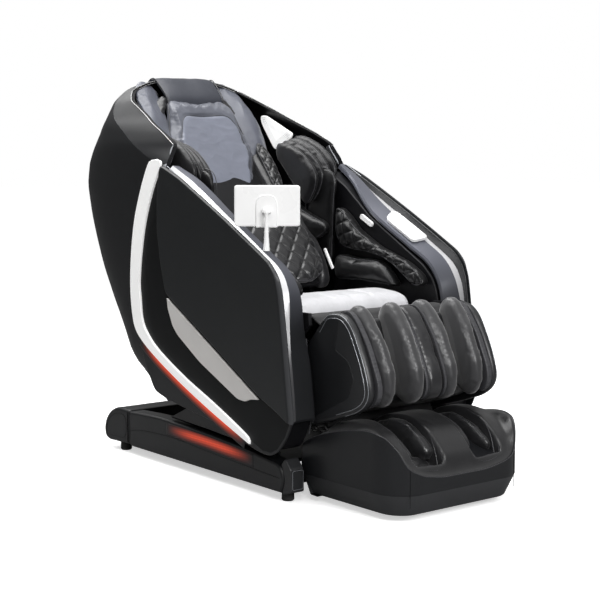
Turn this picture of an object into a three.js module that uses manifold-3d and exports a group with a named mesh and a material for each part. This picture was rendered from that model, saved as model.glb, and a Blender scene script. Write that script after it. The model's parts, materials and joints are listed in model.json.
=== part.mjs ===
// A reclining massage chair: a base on feet, a carriage that slides on it, a tilting seat with two
// arm pods, a reclining back, a lifting calf rest with a sliding foot rest, and a tablet on an arm.
// Millimetres. +X is the sitter's left, the chair faces -Y, +Z is up.
import * as THREE from "three";
import { mergeVertices } from "three/addons/utils/BufferGeometryUtils.js";
import Module from "manifold-3d";

const wasm = await Module();
wasm.setup();

// ---------- Driving dimensions ----------
const GAP = 0.5; // between pieces that rest on each other
const ORIGIN_SHIFT_Y = 78; // moves the origin from between the feet to the middle of the footprint

const TILT_PIVOT = { y: -45, z: 185 };
const RECLINE_PIVOT = { y: 100, z: 450 };
const LEGREST_PIVOT = { y: -520, z: 555 };
const PIN_RADIUS = 8;
const PIN_HOLE_RADIUS = 9.5;
const MOTOR_RADIUS = 18;
const MOTOR_BORE = 9.5;
const ROD_RADIUS = 8;

const FOOT_X = 300;
const FOOT_Y = 465;
const RAIL_INNER_X = 276;
const RAIL_OUTER_X = 336;
const WHEEL_RADIUS = 23;

const POD_INNER_X = 282; // inner face of an arm pod
const POD_OUTER_X = 373.5; // outer face of its inner shell
const SKIRT_X = [374, 381]; // plate that carries panel, strip and badge
const PANEL_X = [381.5, 393]; // raised side panel
const STRIP_X = [381.5, 388];

const SHELL_WIDTH = 372; // half width of the back shell
const SHELL_WALL = 27;
const BACK_PAD_HALF = 222;
const BACK_FOOT = { y: -9, z: 711 }; // lower end of the back cushion's face
const BACK_SLOPE = THREE.MathUtils.degToRad(47.4); // the cushion's face above the horizontal
const CALF_HALF = 262;
const LEGREST_HALF = 268;
const CONTROL_TILT = THREE.MathUtils.degToRad(27); // slope of the armrest top

// ---------- Solids ----------
function toSolid(geometry) {
  const plain = geometry.clone();
  plain.deleteAttribute("normal");
  plain.deleteAttribute("uv");
  const merged = mergeVertices(plain, 1e-3);
  return new wasm.Manifold(
    new wasm.Mesh({
      numProp: 3,
      vertProperties: new Float32Array(merged.attributes.position.array),
      triVerts: new Uint32Array(merged.index.array),
    }),
  );
}

function toGeometry(solid) {
  const mesh = solid.getMesh();
  const geometry = new THREE.BufferGeometry();
  geometry.setAttribute("position", new THREE.BufferAttribute(mesh.vertProperties, 3));
  geometry.setIndex(new THREE.BufferAttribute(mesh.triVerts, 1));
  return geometry;
}

function join(first, ...others) {
  return toGeometry(others.reduce((sum, g) => sum.add(toSolid(g)), toSolid(first)));
}

function cut(first, ...others) {
  return toGeometry(others.reduce((rest, g) => rest.subtract(toSolid(g)), toSolid(first)));
}

function common(first, second) {
  return toGeometry(toSolid(first).intersect(toSolid(second)));
}

function box(x, y, z) {
  const size = [x, y, z].map(([low, high]) => high - low);
  const middle = [x, y, z].map(([low, high]) => (low + high) / 2);
  return new THREE.BoxGeometry(...size).translate(...middle);
}

// An outline through corners, each corner rounded by the same radius.
function rounded(corners, radius) {
  const shape = new THREE.Shape();
  const points = corners.map(([a, b]) => new THREE.Vector2(a, b));
  points.forEach((corner, i) => {
    const before = points[(i + points.length - 1) % points.length];
    const after = points[(i + 1) % points.length];
    const back = Math.min(radius, corner.distanceTo(before) / 2);
    const ahead = Math.min(radius, corner.distanceTo(after) / 2);
    const start = corner.clone().lerp(before, back / corner.distanceTo(before));
    const end = corner.clone().lerp(after, ahead / corner.distanceTo(after));
    if (i === 0) shape.moveTo(start.x, start.y);
    else shape.lineTo(start.x, start.y);
    shape.quadraticCurveTo(corner.x, corner.y, end.x, end.y);
  });
  shape.closePath();
  return shape;
}

function polygon(corners) {
  return new THREE.Shape(corners.map(([a, b]) => new THREE.Vector2(a, b)));
}

// A closed band between two smooth curves that run side by side.
function band(outer, inner) {
  const shape = new THREE.Shape();
  shape.moveTo(...outer[0]);
  shape.splineThru(outer.slice(1).map(([a, b]) => new THREE.Vector2(a, b)));
  const back = inner.slice().reverse();
  shape.lineTo(...back[0]);
  shape.splineThru(back.slice(1).map(([a, b]) => new THREE.Vector2(a, b)));
  shape.closePath();
  return shape;
}

function extrude(shape, depth, smoothness) {
  return new THREE.ExtrudeGeometry(shape, { depth, bevelEnabled: false, curveSegments: smoothness });
}

// A side outline in (y, z), extruded across from x0 to x1.
function across(shape, [x0, x1], smoothness = 3) {
  const turn = new THREE.Matrix4().set(0, 0, 1, x0, 1, 0, 0, 0, 0, 1, 0, 0, 0, 0, 0, 1);
  return extrude(shape, x1 - x0, smoothness).applyMatrix4(turn);
}

// A plan outline in (x, y), extruded up from z0 to z1.
function upward(shape, [z0, z1], smoothness = 3) {
  return extrude(shape, z1 - z0, smoothness).translate(0, 0, z0);
}

// A front outline in (x, z), extruded back from y0 to y1.
function backward(shape, [y0, y1], smoothness = 3) {
  return extrude(shape, y1 - y0, smoothness).rotateX(Math.PI / 2).translate(0, y1, 0);
}

// A round bar from one point to another.
function bar(from, to, radius, sides = 12) {
  const start = new THREE.Vector3(...from);
  const end = new THREE.Vector3(...to);
  const geometry = new THREE.CylinderGeometry(radius, radius, start.distanceTo(end), sides);
  const direction = end.clone().sub(start).normalize();
  const turn = new THREE.Quaternion().setFromUnitVectors(new THREE.Vector3(0, 1, 0), direction);
  return geometry.applyQuaternion(turn).translate(...start.add(end).multiplyScalar(0.5).toArray());
}

// A pin across the chair at a pivot.
function pin(pivot, [x0, x1], radius = PIN_RADIUS) {
  return bar([x0, pivot.y, pivot.z], [x1, pivot.y, pivot.z], radius);
}

// A solid through rings of points, all with the same count, capped at both ends.
function loft(rings) {
  const count = rings[0].length;
  const faces = [];
  for (let r = 0; r + 1 < rings.length; r++) {
    for (let i = 0; i < count; i++) {
      const a = r * count + i;
      const b = r * count + ((i + 1) % count);
      faces.push(a, b, b + count, a, b + count, a + count);
    }
  }
  const last = (rings.length - 1) * count;
  for (let i = 1; i + 1 < count; i++) {
    faces.push(0, i + 1, i, last, last + i, last + i + 1);
  }
  return outward(rings.flat(2), faces);
}

// A geometry with its faces turned outward.
function outward(positions, faces) {
  const geometry = new THREE.BufferGeometry();
  geometry.setAttribute("position", new THREE.Float32BufferAttribute(positions, 3));
  geometry.setIndex(faces);
  if (toSolid(geometry).volume() > 0) return geometry;
  for (let i = 0; i < faces.length; i += 3) {
    [faces[i + 1], faces[i + 2]] = [faces[i + 2], faces[i + 1]];
  }
  return geometry.setIndex(faces);
}

// The same geometry on the chair's other side.
function mirrored(geometry) {
  const flipped = (geometry.index ? geometry.toNonIndexed() : geometry.clone()).scale(-1, 1, 1);
  const array = flipped.attributes.position.array;
  for (let i = 0; i < array.length; i += 9) {
    for (let k = 0; k < 3; k++) {
      [array[i + 3 + k], array[i + 6 + k]] = [array[i + 6 + k], array[i + 3 + k]];
    }
  }
  return flipped;
}

// A value read along a line of [position, value] pairs.
function along(table, at) {
  const next = table.findIndex(([position]) => position >= at);
  if (next <= 0) return table[next === 0 ? 0 : table.length - 1][1];
  const [[p0, v0], [p1, v1]] = [table[next - 1], table[next]];
  return v0 + ((v1 - v0) * (at - p0)) / (p1 - p0);
}

// ---------- Materials ----------
function finish(color, roughness, metalness = 0) {
  return () => new THREE.MeshStandardMaterial({ color, roughness, metalness });
}
const satinBlack = finish(0x1b1c1f, 0.35);
const charcoal = finish(0x303236, 0.4);
const steel = finish(0x5c5f63, 0.45, 0.8);
const motorGrey = finish(0x4a4d52, 0.5, 0.3);
const rubber = finish(0x111111, 0.9);
const leather = finish(0x1e1f22, 0.45);
const greyLeather = finish(0x6f7584, 0.4);
const white = finish(0xf0efed, 0.3);
const silver = finish(0xc9c4bf, 0.4, 0.3);
const armSatin = finish(0x7f8597, 0.3, 0.2);

// ---------- Assembly ----------
const chair = new THREE.Group();
const frame = new THREE.Group();
frame.position.y = ORIGIN_SHIFT_Y;
chair.add(frame);

function add(name, geometry, material) {
  const mesh = new THREE.Mesh(geometry, material());
  mesh.name = name;
  frame.add(mesh);
}

// Adds the piece drawn on the sitter's left and its copy on the right.
function addPair(name, geometry, material) {
  add(`${name}_left`, geometry, material);
  add(`${name}_right`, mirrored(geometry), material);
}

// ---------- Base ----------
const CROSS_Z = [34, 70];
const FRONT_CROSS_Y = [-430, -390];
const REAR_CROSS_Y = [405, 440];
const WHEEL_Y = 505;
const WHEEL_Z = 25;

function baseFrame() {
  const rails = [-1, 1].map((side) =>
    box([side * 248 - 24, side * 248 + 24], [FRONT_CROSS_Y[0], REAR_CROSS_Y[1]], CROSS_Z),
  );
  const brackets = [-1, 1].map((side) =>
    box([side * 165 - 6, side * 165 + 6], [REAR_CROSS_Y[0], WHEEL_Y + 12], CROSS_Z),
  );
  const axle = bar([-165, WHEEL_Y, 44], [165, WHEEL_Y, 44], 6, 8);
  const front = box([-240, 240], FRONT_CROSS_Y, CROSS_Z);
  const rear = box([-240, 240], REAR_CROSS_Y, CROSS_Z);
  return join(front, rear, ...rails, ...brackets, axle);
}

function wheelset() {
  const wheels = [-1, 1].map((side) =>
    bar([side * 185, WHEEL_Y, WHEEL_Z], [side * 207, WHEEL_Y, WHEEL_Z], WHEEL_RADIUS, 16),
  );
  return join(bar([-200, WHEEL_Y, WHEEL_Z], [200, WHEEL_Y, WHEEL_Z], 5, 8), ...wheels);
}

function baseCover() {
  const side = [
    [-478, 28], [-492, 72], [-470, 116], [-300, 136], [-80, 150], [200, 160], [384, 152], [384, 30],
  ];
  return across(rounded(side, 18), [RAIL_INNER_X, RAIL_OUTER_X]);
}

function frontCap() {
  const side = [[-494, 27], [-482, 27], [-496, 72], [-478, 118], [-496, 138], [-524, 108], [-528, 38]];
  return across(rounded(side, 6), [RAIL_INNER_X + 12, RAIL_OUTER_X]);
}

function rearCover() {
  const outer = [[385, 34], [385, 155], [470, 158], [528, 130], [558, 84], [552, 40], [528, 30]];
  const inner = [[380, 20], [380, 143], [462, 145], [515, 118], [540, 80], [534, 20]];
  const shell = across(rounded(outer, 20), [-RAIL_OUTER_X, RAIL_OUTER_X]);
  return cut(shell, across(polygon(inner), [-RAIL_INNER_X - 6, RAIL_INNER_X + 6]));
}

function foot(height) {
  const profile = [[0, 0], [17, 0], [20, 4], [19, height], [0, height]];
  const points = profile.map(([r, h]) => new THREE.Vector2(r, h));
  return new THREE.LatheGeometry(points, 12).rotateX(Math.PI / 2);
}

add("base_frame", baseFrame(), steel);
add("transport_wheels", wheelset(), rubber);
addPair("base_cover", baseCover(), satinBlack);
addPair("front_cap", frontCap(), charcoal);
add("base_rear_cover", rearCover(), satinBlack);
addPair("foot_front", foot(27.5).translate(FOOT_X, -FOOT_Y, 0), rubber);
addPair("foot_rear", foot(31).translate(FOOT_X, FOOT_Y, 0), rubber);
add("control_box", box([-120, 120], [250, 390], [78, 118]), motorGrey);

// ---------- Slide carriage ----------
const CARRIAGE_X = 270;

function carriage() {
  const floor = box([-CARRIAGE_X, CARRIAGE_X], [-330, 190], [74, 86]);
  const wall = [
    [-380, 78], [-380, 128], [-235, 174], [-70, 204], [10, 204], [50, 178], [190, 160], [190, 78],
  ];
  const walls = [-1, 1].map((side) =>
    across(polygon(wall), side > 0 ? [262, CARRIAGE_X] : [-CARRIAGE_X, -262], 1),
  );
  const lug = [[-80, 80], [-68, 196], [-60, 204], [-30, 204], [-22, 196], [-10, 80]];
  const lugs = [-1, 1].map((side) => across(polygon(lug), side > 0 ? [219, 236] : [-236, -219]));
  const mount = box([-26, 26], [-380, -320], [74, 84]);
  const ears = [-1, 1].map((side) =>
    box([side * 22 - 4, side * 22 + 4], [-375, -335], [80, 112]),
  );
  const solid = join(floor, ...walls, ...lugs, mount, ...ears);
  return cut(solid, pin(TILT_PIVOT, [-240, 240], PIN_HOLE_RADIUS));
}
add("slide_carriage", carriage(), charcoal);

function tiltActuator() {
  const tube = bar([0, -356, 106], [0, -368, 232], MOTOR_RADIUS - 1);
  return cut(tube, bar([0, -356.5, 122], [0, -371, 272], MOTOR_BORE));
}
add("tilt_actuator", tiltActuator(), motorGrey);
add("tilt_rod", bar([0, -358, 135], [0, -371, 268], ROD_RADIUS), steel);

// ---------- Seat ----------
function seatFrame() {
  const plate = [
    [-448, 330], [-448, 452], [-300, 452], [60, 492], [120, 496], [146, 450], [120, 408],
    [36, 330], [0, 290], [-22, 200], [-30, 164], [-60, 164], [-68, 200], [-100, 300],
  ];
  const plates = [-1, 1].map((side) => across(polygon(plate), side > 0 ? [240, 257] : [-257, -240]));
  const arm = [[-440, 400], [-440, 452], [-500, 575], [-536, 575], [-540, 540], [-500, 500], [-470, 400]];
  const arms = [-1, 1].map((side) => across(polygon(arm), side > 0 ? [265.5, 279] : [-279, -265.5]));
  const braces = [-1, 1].map((side) => box([side * 260 - 19, side * 260 + 19], [-447, -425], [402, 440]));
  const crosses = [
    box([-245, 245], [-440, -412], [330, 372]),
    box([-245, 245], [-160, -132], [290, 330]),
  ];
  const pins = [-1, 1].flatMap((side) => [
    pin(TILT_PIVOT, [side * 217, side * 245]),
    pin(RECLINE_PIVOT, [side * 217, side * 245]),
    pin(LEGREST_PIVOT, [side * 245, side * 270]),
  ]);
  const brackets = [
    box([-20, 20], [-416, -357], [302, 335]),
    box([-80, 80], [-240, -140], [308, 318]),
  ];
  return join(crosses[0], crosses[1], ...plates, ...braces, ...arms, ...pins, ...brackets);
}

function seatCushion() {
  const side = [
    [-448, 474], [-453, 560], [-432, 596], [-320, 602], [-160, 578], [-62, 556], [30, 540], [34, 500],
  ];
  return across(rounded(side, 16), [-236, 236]);
}
add("seat_frame", seatFrame(), steel);
add("seat_cushion", seatCushion(), greyLeather);

// ---------- Arm pods ----------
// The top of a pod falls from its outer edge to its inner edge. Both edges run front to back.
const TOP_OUTER = [
  [-548, 520], [-537, 600], [-524, 650], [-490, 700], [-411, 750], [-226, 850], [-37, 950], [66, 1001],
];
const TOP_INNER = [
  [-526, 520], [-515, 600], [-494, 650], [-446, 700], [-351, 750], [-172, 850], [-44, 950], [56, 1000],
];
const TOP_INNER_X = [285, 285, 285, 285, 285, 285, 314, 336];
const TOP_DEPTH = 9.6;
const PANEL_FRONT = [[-598, 262], [-588, 335], [-565, 508], [-544, 648], [-527, 692], [-489, 730]];
const PANEL_REAR = [[97, 998], [111, 895], [112, 797], [96, 700], [66, 594]];
const POD_BOTTOM = [[-560, 212], [-521, 168], [-487, 150], [-447, 149], [-387, 160]];
const STRIP_OUTER = [
  [144, 1024], [168, 1007], [213, 925], [253, 824], [274, 723], [283, 621], [278, 537], [261, 471],
  [224, 430], [139, 380], [-8, 312], [-176, 245], [-361, 179], [-387, 171],
];
const STRIP_INNER = [
  [114, 1027], [90, 1010], [140, 926], [184, 827], [211, 726], [226, 625], [221, 559], [210, 492],
  [174, 446], [108, 400], [-37, 332], [-204, 268], [-362, 201], [-387, 181],
];

function armShell() {
  const side = [
    [-574, 262], [-550, 214], [-515, 174], [-470, 160], [-385, 168], [-235, 208], [-70, 226], [-14, 236],
    [-6, 290], [20, 340], [20, 560], [40, 800], [58, 984],
    [-40, 932], [-166, 834], [-347, 733], [-432, 686], [-478, 643], [-498, 596], [-510, 512],
    [-548, 506],
  ];
  const plan = [
    [POD_INNER_X, -600], [POD_OUTER_X, -600], [POD_OUTER_X, 90], [336, 90],
    [330, 20], [313, -44], [290, -100],
    [POD_INNER_X, -140],
  ];
  return common(across(rounded(side, 10), [280, 375], 2), upward(polygon(plan), [100, 1100]));
}

function armTop() {
  const outerX = POD_OUTER_X - 2;
  const rings = TOP_OUTER.map(([y, z], i) => {
    const [innerY, innerZ] = TOP_INNER[i];
    const next = TOP_INNER[Math.min(i + 1, TOP_INNER.length - 1)];
    const before = TOP_INNER[Math.max(i - 1, 0)];
    const length = Math.hypot(next[0] - before[0], next[1] - before[1]);
    const underY = innerY + (TOP_DEPTH * (next[1] - before[1])) / length;
    const underZ = innerZ - (TOP_DEPTH * (next[0] - before[0])) / length;
    const x = TOP_INNER_X[i];
    return [
      [outerX, y, z],
      [x, innerY, innerZ],
      [x, underY, underZ],
      [outerX, underY, underZ],
    ];
  });
  return loft(rings);
}

function armPanel() {
  const top = [[-489, 730], [-391, 783], [-263, 850], [-130, 916], [-19, 969], [85, 1008]];
  const badgeLine = [[66, 594], [-438, 323], [-588, 261]];
  const outline = [...PANEL_FRONT.slice(1), ...top.slice(1), ...PANEL_REAR, ...badgeLine.slice(1)];
  return across(rounded(outline, 8), PANEL_X, 2);
}

function armSkirt() {
  const outline = [
    [-590, 268], ...POD_BOTTOM, [-235, 203], [-70, 223], [81, 244], [150, 262], [205, 340], [262, 466],
    [277, 540], [281, 621], [272, 723], [251, 824], [211, 925], [166, 1005], [146, 1020],
    [114, 1022], [80, 1002], [-19, 964], [-130, 911], [-263, 845], [-391, 778], [-485, 726], [-520, 690],
    [-538, 645], [-559, 508], [-582, 335],
  ];
  return across(rounded(outline, 6), SKIRT_X, 1);
}

function badge() {
  const outline = [
    [62, 580], [-434, 313], [-388, 308], [-366, 298], [-326, 301],
    [-123, 391], [1, 464], [29, 491], [57, 546],
  ];
  return across(rounded(outline, 5), [PANEL_X[0], PANEL_X[0] + 6], 2);
}

addPair("arm_shell", armShell(), satinBlack);
addPair("arm_top", armTop(), armSatin);
addPair("arm_skirt", armSkirt(), satinBlack);
addPair("arm_panel", armPanel(), satinBlack);
addPair("light_strip", across(band(STRIP_OUTER, STRIP_INNER), STRIP_X, 1), white);
addPair("badge", badge(), silver);

function armPad() {
  const outline = [
    [-30, 864], [-72, 850], [-130, 808], [-191, 772], [-250, 738], [-397, 692], [-464, 652], [-476, 618],
    [-428, 612], [-330, 680], [-250, 708], [-60, 722], [-30, 776],
  ];
  return across(rounded(outline, 12), [238, POD_INNER_X - GAP]);
}

function hipPad() {
  const outline = [[-30, 612], [-30, 700], [-268, 692], [-318, 650], [-352, 608]];
  return across(rounded(outline, 24), [238, POD_INNER_X - GAP]);
}
addPair("arm_pad", armPad(), leather);
addPair("hip_pad", hipPad(), leather);

// ---------- Controls on the sitter's left armrest ----------
// The armrest's top is a sloping plane here: u runs along it towards the rear, v across it.
const CONTROL_CENTRE = [323, -303, 793];

function onArmrest(geometry) {
  const inward = THREE.MathUtils.degToRad(19);
  return geometry.rotateY(-inward).rotateX(CONTROL_TILT).translate(...CONTROL_CENTRE);
}

function controlPanel() {
  const outline = rounded([[-29, -80], [27, -92], [27, 80], [14, 92], [-29, 72]], 12);
  const plate = upward(outline, [6, 16]);
  const dialWell = new THREE.CylinderGeometry(17, 17, 6, 20).rotateX(Math.PI / 2).translate(0, -4, 16);
  const keyWells = [1, -1].map((side) => box([-16, 16], [side * 45 - 17, side * 45 + 17], [13, 20]));
  return onArmrest(cut(plate, dialWell, ...keyWells));
}

function controlDial() {
  return onArmrest(new THREE.CylinderGeometry(15.5, 16, 5, 20).rotateX(Math.PI / 2).translate(0, -4, 16.2));
}

function controlKey(side) {
  const outline = rounded([[-15, -16], [15, -16], [15, 16], [-15, 16]], 5);
  return onArmrest(upward(outline, [14.6, 17.5], 2).translate(0, side * 45, 0));
}

function quickKey() {
  const outline = rounded([[-34, -9], [34, -9], [34, 9], [-34, 9]], 9);
  const key = extrude(outline, 5, 4);
  const turn = new THREE.Matrix4().makeBasis(
    new THREE.Vector3(0, Math.cos(CONTROL_TILT), Math.sin(CONTROL_TILT)),
    new THREE.Vector3(0, -Math.sin(CONTROL_TILT), Math.cos(CONTROL_TILT)),
    new THREE.Vector3(1, 0, 0),
  );
  return key.applyMatrix4(turn).translate(POD_INNER_X - 7.5, -160, 818);
}
add("control_panel", controlPanel(), white);
add("control_dial", controlDial(), silver);
add("control_key_rear", controlKey(1), white);
add("control_key_front", controlKey(-1), white);
add("quick_key", quickKey(), white);

// ---------- Tablet on the sitter's right armrest ----------
const TABLET_POST = { x: -328.5, y: -398 };
const TABLET_BALL_Z = 874;
const TABLET_TURN = THREE.MathUtils.degToRad(-38.5);
const TABLET_SIZE = [193, 16, 122];

function tabletArm() {
  const profile = [[0, 764], [14, 764], [14, 772], [8, 780], [6, 796], [4.5, 864], [4.5, 868], [0, 868]];
  const post = new THREE.LatheGeometry(profile.map(([r, h]) => new THREE.Vector2(r, h)), 10);
  const ball = new THREE.SphereGeometry(9, 10, 6).translate(0, TABLET_BALL_Z, 0);
  return join(post, ball).rotateX(Math.PI / 2).translate(TABLET_POST.x, TABLET_POST.y, 0);
}

function tablet() {
  const [width, depth, height] = TABLET_SIZE;
  const [right, top] = [width / 2, height / 2];
  const outline = rounded([[-right, -top], [right, -top], [right, top], [-right, top]], 10);
  const slab = backward(outline, [19, 19 + depth], 4).translate(0, 0, 16);
  const socket = bar([0, 11, 0], [0, 22, 0], 13, 16);
  return join(slab, socket).rotateZ(TABLET_TURN).translate(TABLET_POST.x, TABLET_POST.y, TABLET_BALL_Z);
}
add("tablet_arm", tabletArm(), white);
add("tablet", tablet(), white);

// ---------- Back ----------
// A point s millimetres up the back cushion's face and d millimetres behind it.
function onBack(s, d) {
  return [
    BACK_FOOT.y + s * Math.cos(BACK_SLOPE) + d * Math.sin(BACK_SLOPE),
    BACK_FOOT.z + s * Math.sin(BACK_SLOPE) - d * Math.cos(BACK_SLOPE),
  ];
}

// The corners of a block that spans s0 to s1 up the face and d0 to d1 behind it.
function onBackBlock([s0, s1], [d0, d1]) {
  return [onBack(s0, d0), onBack(s1, d0), onBack(s1, d1), onBack(s0, d1)];
}

// The back shell in level sections, each a U open to the front: height, half width, the two front
// edges, and the rear of the outer skin.
const SHELL_REAR = [
  [228, 160], [254, 212], [302, 300], [366, 370], [456, 452],
  [556, 548], [658, 630], [770, 698], [876, 746],
  [950, 768], [1000, 766], [1072, 742], [1140, 690], [1200, 624], [1250, 578], [1290, 560], [1306, 550],
];
const SHELL_FRONT = [
  [228, 112], [300, 112], [352, 206], [400, 236], [500, 240],
  [620, 236], [800, 208], [920, 150], [1000, 84],
  [1072, 92], [1110, 176], [1140, 246], [1170, 310], [1200, 378], [1222, 430], [1266, 492], [1306, 530],
];
const SHELL_HALF = [
  [228, 346], [300, 366], [400, SHELL_WIDTH], [1005, SHELL_WIDTH], [1072, 340], [1110, 330], [1140, 320],
  [1170, 307], [1200, 294], [1222, 284], [1266, 222], [1290, 150], [1306, 60],
];
const SHELL_HEIGHTS = [
  228, 262, 302, 352, 400, 480, 600, 720, 840, 920, 1000, 1072, 1110, 1150, 1190, 1222, 1255, 1280, 1300,
];
const SHELL_COLUMNS = 12;
const CORNER_POWER = 0.5; // below 1 makes the corners fuller than an ellipse

function shellPoint(z, column, inset) {
  const halfTurn = (Math.PI * column) / SHELL_COLUMNS;
  const half = Math.max(along(SHELL_HALF, z) - inset, 8);
  const front = along(SHELL_FRONT, z);
  const rear = Math.max(along(SHELL_REAR, z) - inset * 1.3, front + 6);
  const cosine = Math.cos(halfTurn);
  const sine = Math.sin(halfTurn);
  const x = half * Math.sign(cosine) * Math.abs(cosine) ** CORNER_POWER;
  return [Math.abs(cosine) < 1e-9 ? 0 : x, front + (rear - front) * Math.abs(sine) ** CORNER_POWER, z];
}

function backShell() {
  const positions = [];
  const faces = [];
  const columns = SHELL_COLUMNS + 1;
  const rows = SHELL_HEIGHTS.length;
  [0, SHELL_WALL].forEach((inset) =>
    SHELL_HEIGHTS.forEach((z) => {
      const crown = inset && z > 1280 ? -14 : 0;
      for (let c = 0; c < columns; c++) {
        const [x, y, height] = shellPoint(z, c, inset);
        positions.push(x, y, height + crown);
      }
    }),
  );
  const at = (layer, row, column) => layer * rows * columns + row * columns + column;
  const quad = (a, b, c, d) => faces.push(a, b, c, a, c, d);
  for (let r = 0; r + 1 < rows; r++) {
    for (let c = 0; c + 1 < columns; c++) {
      quad(at(0, r, c), at(0, r, c + 1), at(0, r + 1, c + 1), at(0, r + 1, c));
      quad(at(1, r, c + 1), at(1, r, c), at(1, r + 1, c), at(1, r + 1, c + 1));
    }
    quad(at(1, r, 0), at(0, r, 0), at(0, r + 1, 0), at(1, r + 1, 0));
    quad(at(0, r, columns - 1), at(1, r, columns - 1), at(1, r + 1, columns - 1), at(0, r + 1, columns - 1));
  }
  for (let c = 0; c + 1 < columns; c++) {
    quad(at(1, 0, c), at(1, 0, c + 1), at(0, 0, c + 1), at(0, 0, c));
    quad(at(0, rows - 1, c), at(0, rows - 1, c + 1), at(1, rows - 1, c + 1), at(1, rows - 1, c));
  }
  return outward(positions, faces);
}

const TRACK_X = [206, 224];
const TRACK_DEPTH = [142, 178];
const CROSS_S = [-34, 580]; // where the two cross members start

function backFrame() {
  const track = onBackBlock([-40, 610], TRACK_DEPTH);
  const lug = [[74, 566], [120, 606], [160, 590], [150, 500], [136, 440], [100, 416], [64, 440], [70, 500]];
  const parts = [-1, 1].flatMap((side) => {
    const span = side > 0 ? TRACK_X : [-TRACK_X[1], -TRACK_X[0]];
    const lugSpan = side > 0 ? [219, 236] : [-236, -219];
    return [across(polygon(track), span, 1), across(polygon(lug), lugSpan)];
  });
  const crosses = CROSS_S.map((s) => across(polygon(onBackBlock([s, s + 26], [180, 206])), [-224, 224], 1));
  const posts = [-1, 1].flatMap((side) =>
    CROSS_S.map((s) => {
      const corners = onBackBlock([s, s + 26], [160, 206]);
      return across(polygon(corners), side > 0 ? TRACK_X : [-TRACK_X[1], -TRACK_X[0]], 1);
    }),
  );
  const lever = across(polygon([[104, 574], [136, 566], [138, 330], [110, 322], [106, 345]]), [-8, 8], 1);
  const solid = join(crosses[0], crosses[1], ...posts, ...parts, lever);
  return cut(solid, pin(RECLINE_PIVOT, [-240, 240], PIN_HOLE_RADIUS));
}

function backPad() {
  const side = [
    [474, 1254], [436, 1198], [376, 1109], [304, 1033], [205, 935], [102, 846], [-9, 711], [-50, 622],
    [-40, 584], [-4, 574], [40, 610], onBack(60, 118), onBack(690, 118), [508, 1228],
  ];
  const scoop = [
    onBack(60, -80), onBack(70, 62), onBack(325, 76), onBack(330, 101), onBack(690, 66), onBack(780, -80),
  ];
  const front = [
    [-BACK_PAD_HALF, 500], [BACK_PAD_HALF, 500], [BACK_PAD_HALF, 1120], [168, 1222], [112, 1262],
    [-112, 1262], [-168, 1222], [-BACK_PAD_HALF, 1120],
  ];
  const block = across(rounded(side, 10), [-BACK_PAD_HALF, BACK_PAD_HALF], 2);
  const body = common(block, backward(polygon(front), [-200, 800]));
  return cut(body, across(polygon(scoop), [-172, 172], 1));
}

function headPillow() {
  const side = [
    [440, 1224], [404, 1196], [372, 1140], [300, 1000],
    [268, 908], onBack(334, 98), onBack(668, 66),
  ];
  const front = [
    [-118, 860], [118, 860], [142, 930], [169, 1030], [168, 1090], [124, 1226], [-124, 1226], [-168, 1090],
    [-169, 1030], [-142, 930],
  ];
  return common(across(rounded(side, 14), [-170, 170], 2), backward(polygon(front), [0, 700]));
}

function shoulderPad() {
  const outline = [
    [292, 1046], [262, 1078], [222, 1090], [41, 1052],
    [-12, 988], [14, 884], [124, 828], [276, 940],
  ];
  return across(rounded(outline, 26), [250, 303]);
}

function speaker() {
  const outline = [[404, 1180], [376, 1184], [218, 1116], [226, 1098], [318, 1052], [398, 1150]];
  return across(rounded(outline, 12), [252, 264], 2);
}
add("back_shell", backShell(), satinBlack);
add("back_frame", backFrame(), steel);
add("back_pad", backPad(), leather);
add("head_pillow", headPillow(), greyLeather);
addPair("shoulder_pad", shoulderPad(), leather);
addPair("speaker", speaker(), white);

// ---------- Massage carriage ----------
const ROLLER_S = 100;
const ROLLER_DEPTH = 152;

function massageCarriage() {
  const plate = onBackBlock([40, 160], [140, 178]);
  const plates = [-1, 1].map((side) => across(polygon(plate), side > 0 ? [180, 203] : [-203, -180], 1));
  const back = onBackBlock([40, 160], [186, 200]);
  const bridges = [-1, 1].map((side) =>
    across(polygon(onBackBlock([60, 140], [170, 190])), side > 0 ? [180, 196] : [-196, -180], 1),
  );
  const solid = join(across(polygon(back), [-196, 196], 1), ...bridges, ...plates);
  const [y, z] = onBack(ROLLER_S, ROLLER_DEPTH);
  return cut(solid, pin({ y, z }, [-210, 210], PIN_HOLE_RADIUS));
}

function kneadingRollers() {
  const [y, z] = onBack(ROLLER_S, ROLLER_DEPTH);
  const rollers = [-110, -60, 60, 110].map((x) => pin({ y, z }, [x - 14, x + 14], 24));
  return join(pin({ y, z }, [-190, 190], 7), ...rollers);
}
add("massage_carriage", massageCarriage(), motorGrey);
add("kneading_rollers", kneadingRollers(), white);

// ---------- Actuators of the back and the leg rest ----------
const RECLINE_END = { y: 122, z: 331 };

function reclineActuator() {
  const tube = bar([0, -131.5, RECLINE_END.z], [0, 8, RECLINE_END.z], MOTOR_RADIUS);
  return cut(tube, bar([0, -124, RECLINE_END.z], [0, 40, RECLINE_END.z], MOTOR_BORE));
}

function reclineRod() {
  const { y, z } = RECLINE_END;
  const rod = bar([0, -60, z], [0, y - 34, z], ROD_RADIUS);
  const fork = [-1, 1].map((side) => box([side * 14 - 3, side * 14 + 3], [y - 40, y + 12], [z - 10, z + 10]));
  const yoke = box([-17, 17], [y - 48, y - 36], [z - 10, z + 10]);
  return join(rod, yoke, ...fork);
}
add("recline_actuator", reclineActuator(), motorGrey);
add("recline_rod", reclineRod(), steel);

const LEG_MOTOR_X = 60;
const LEG_END = [LEG_MOTOR_X, -466, 451];

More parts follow.
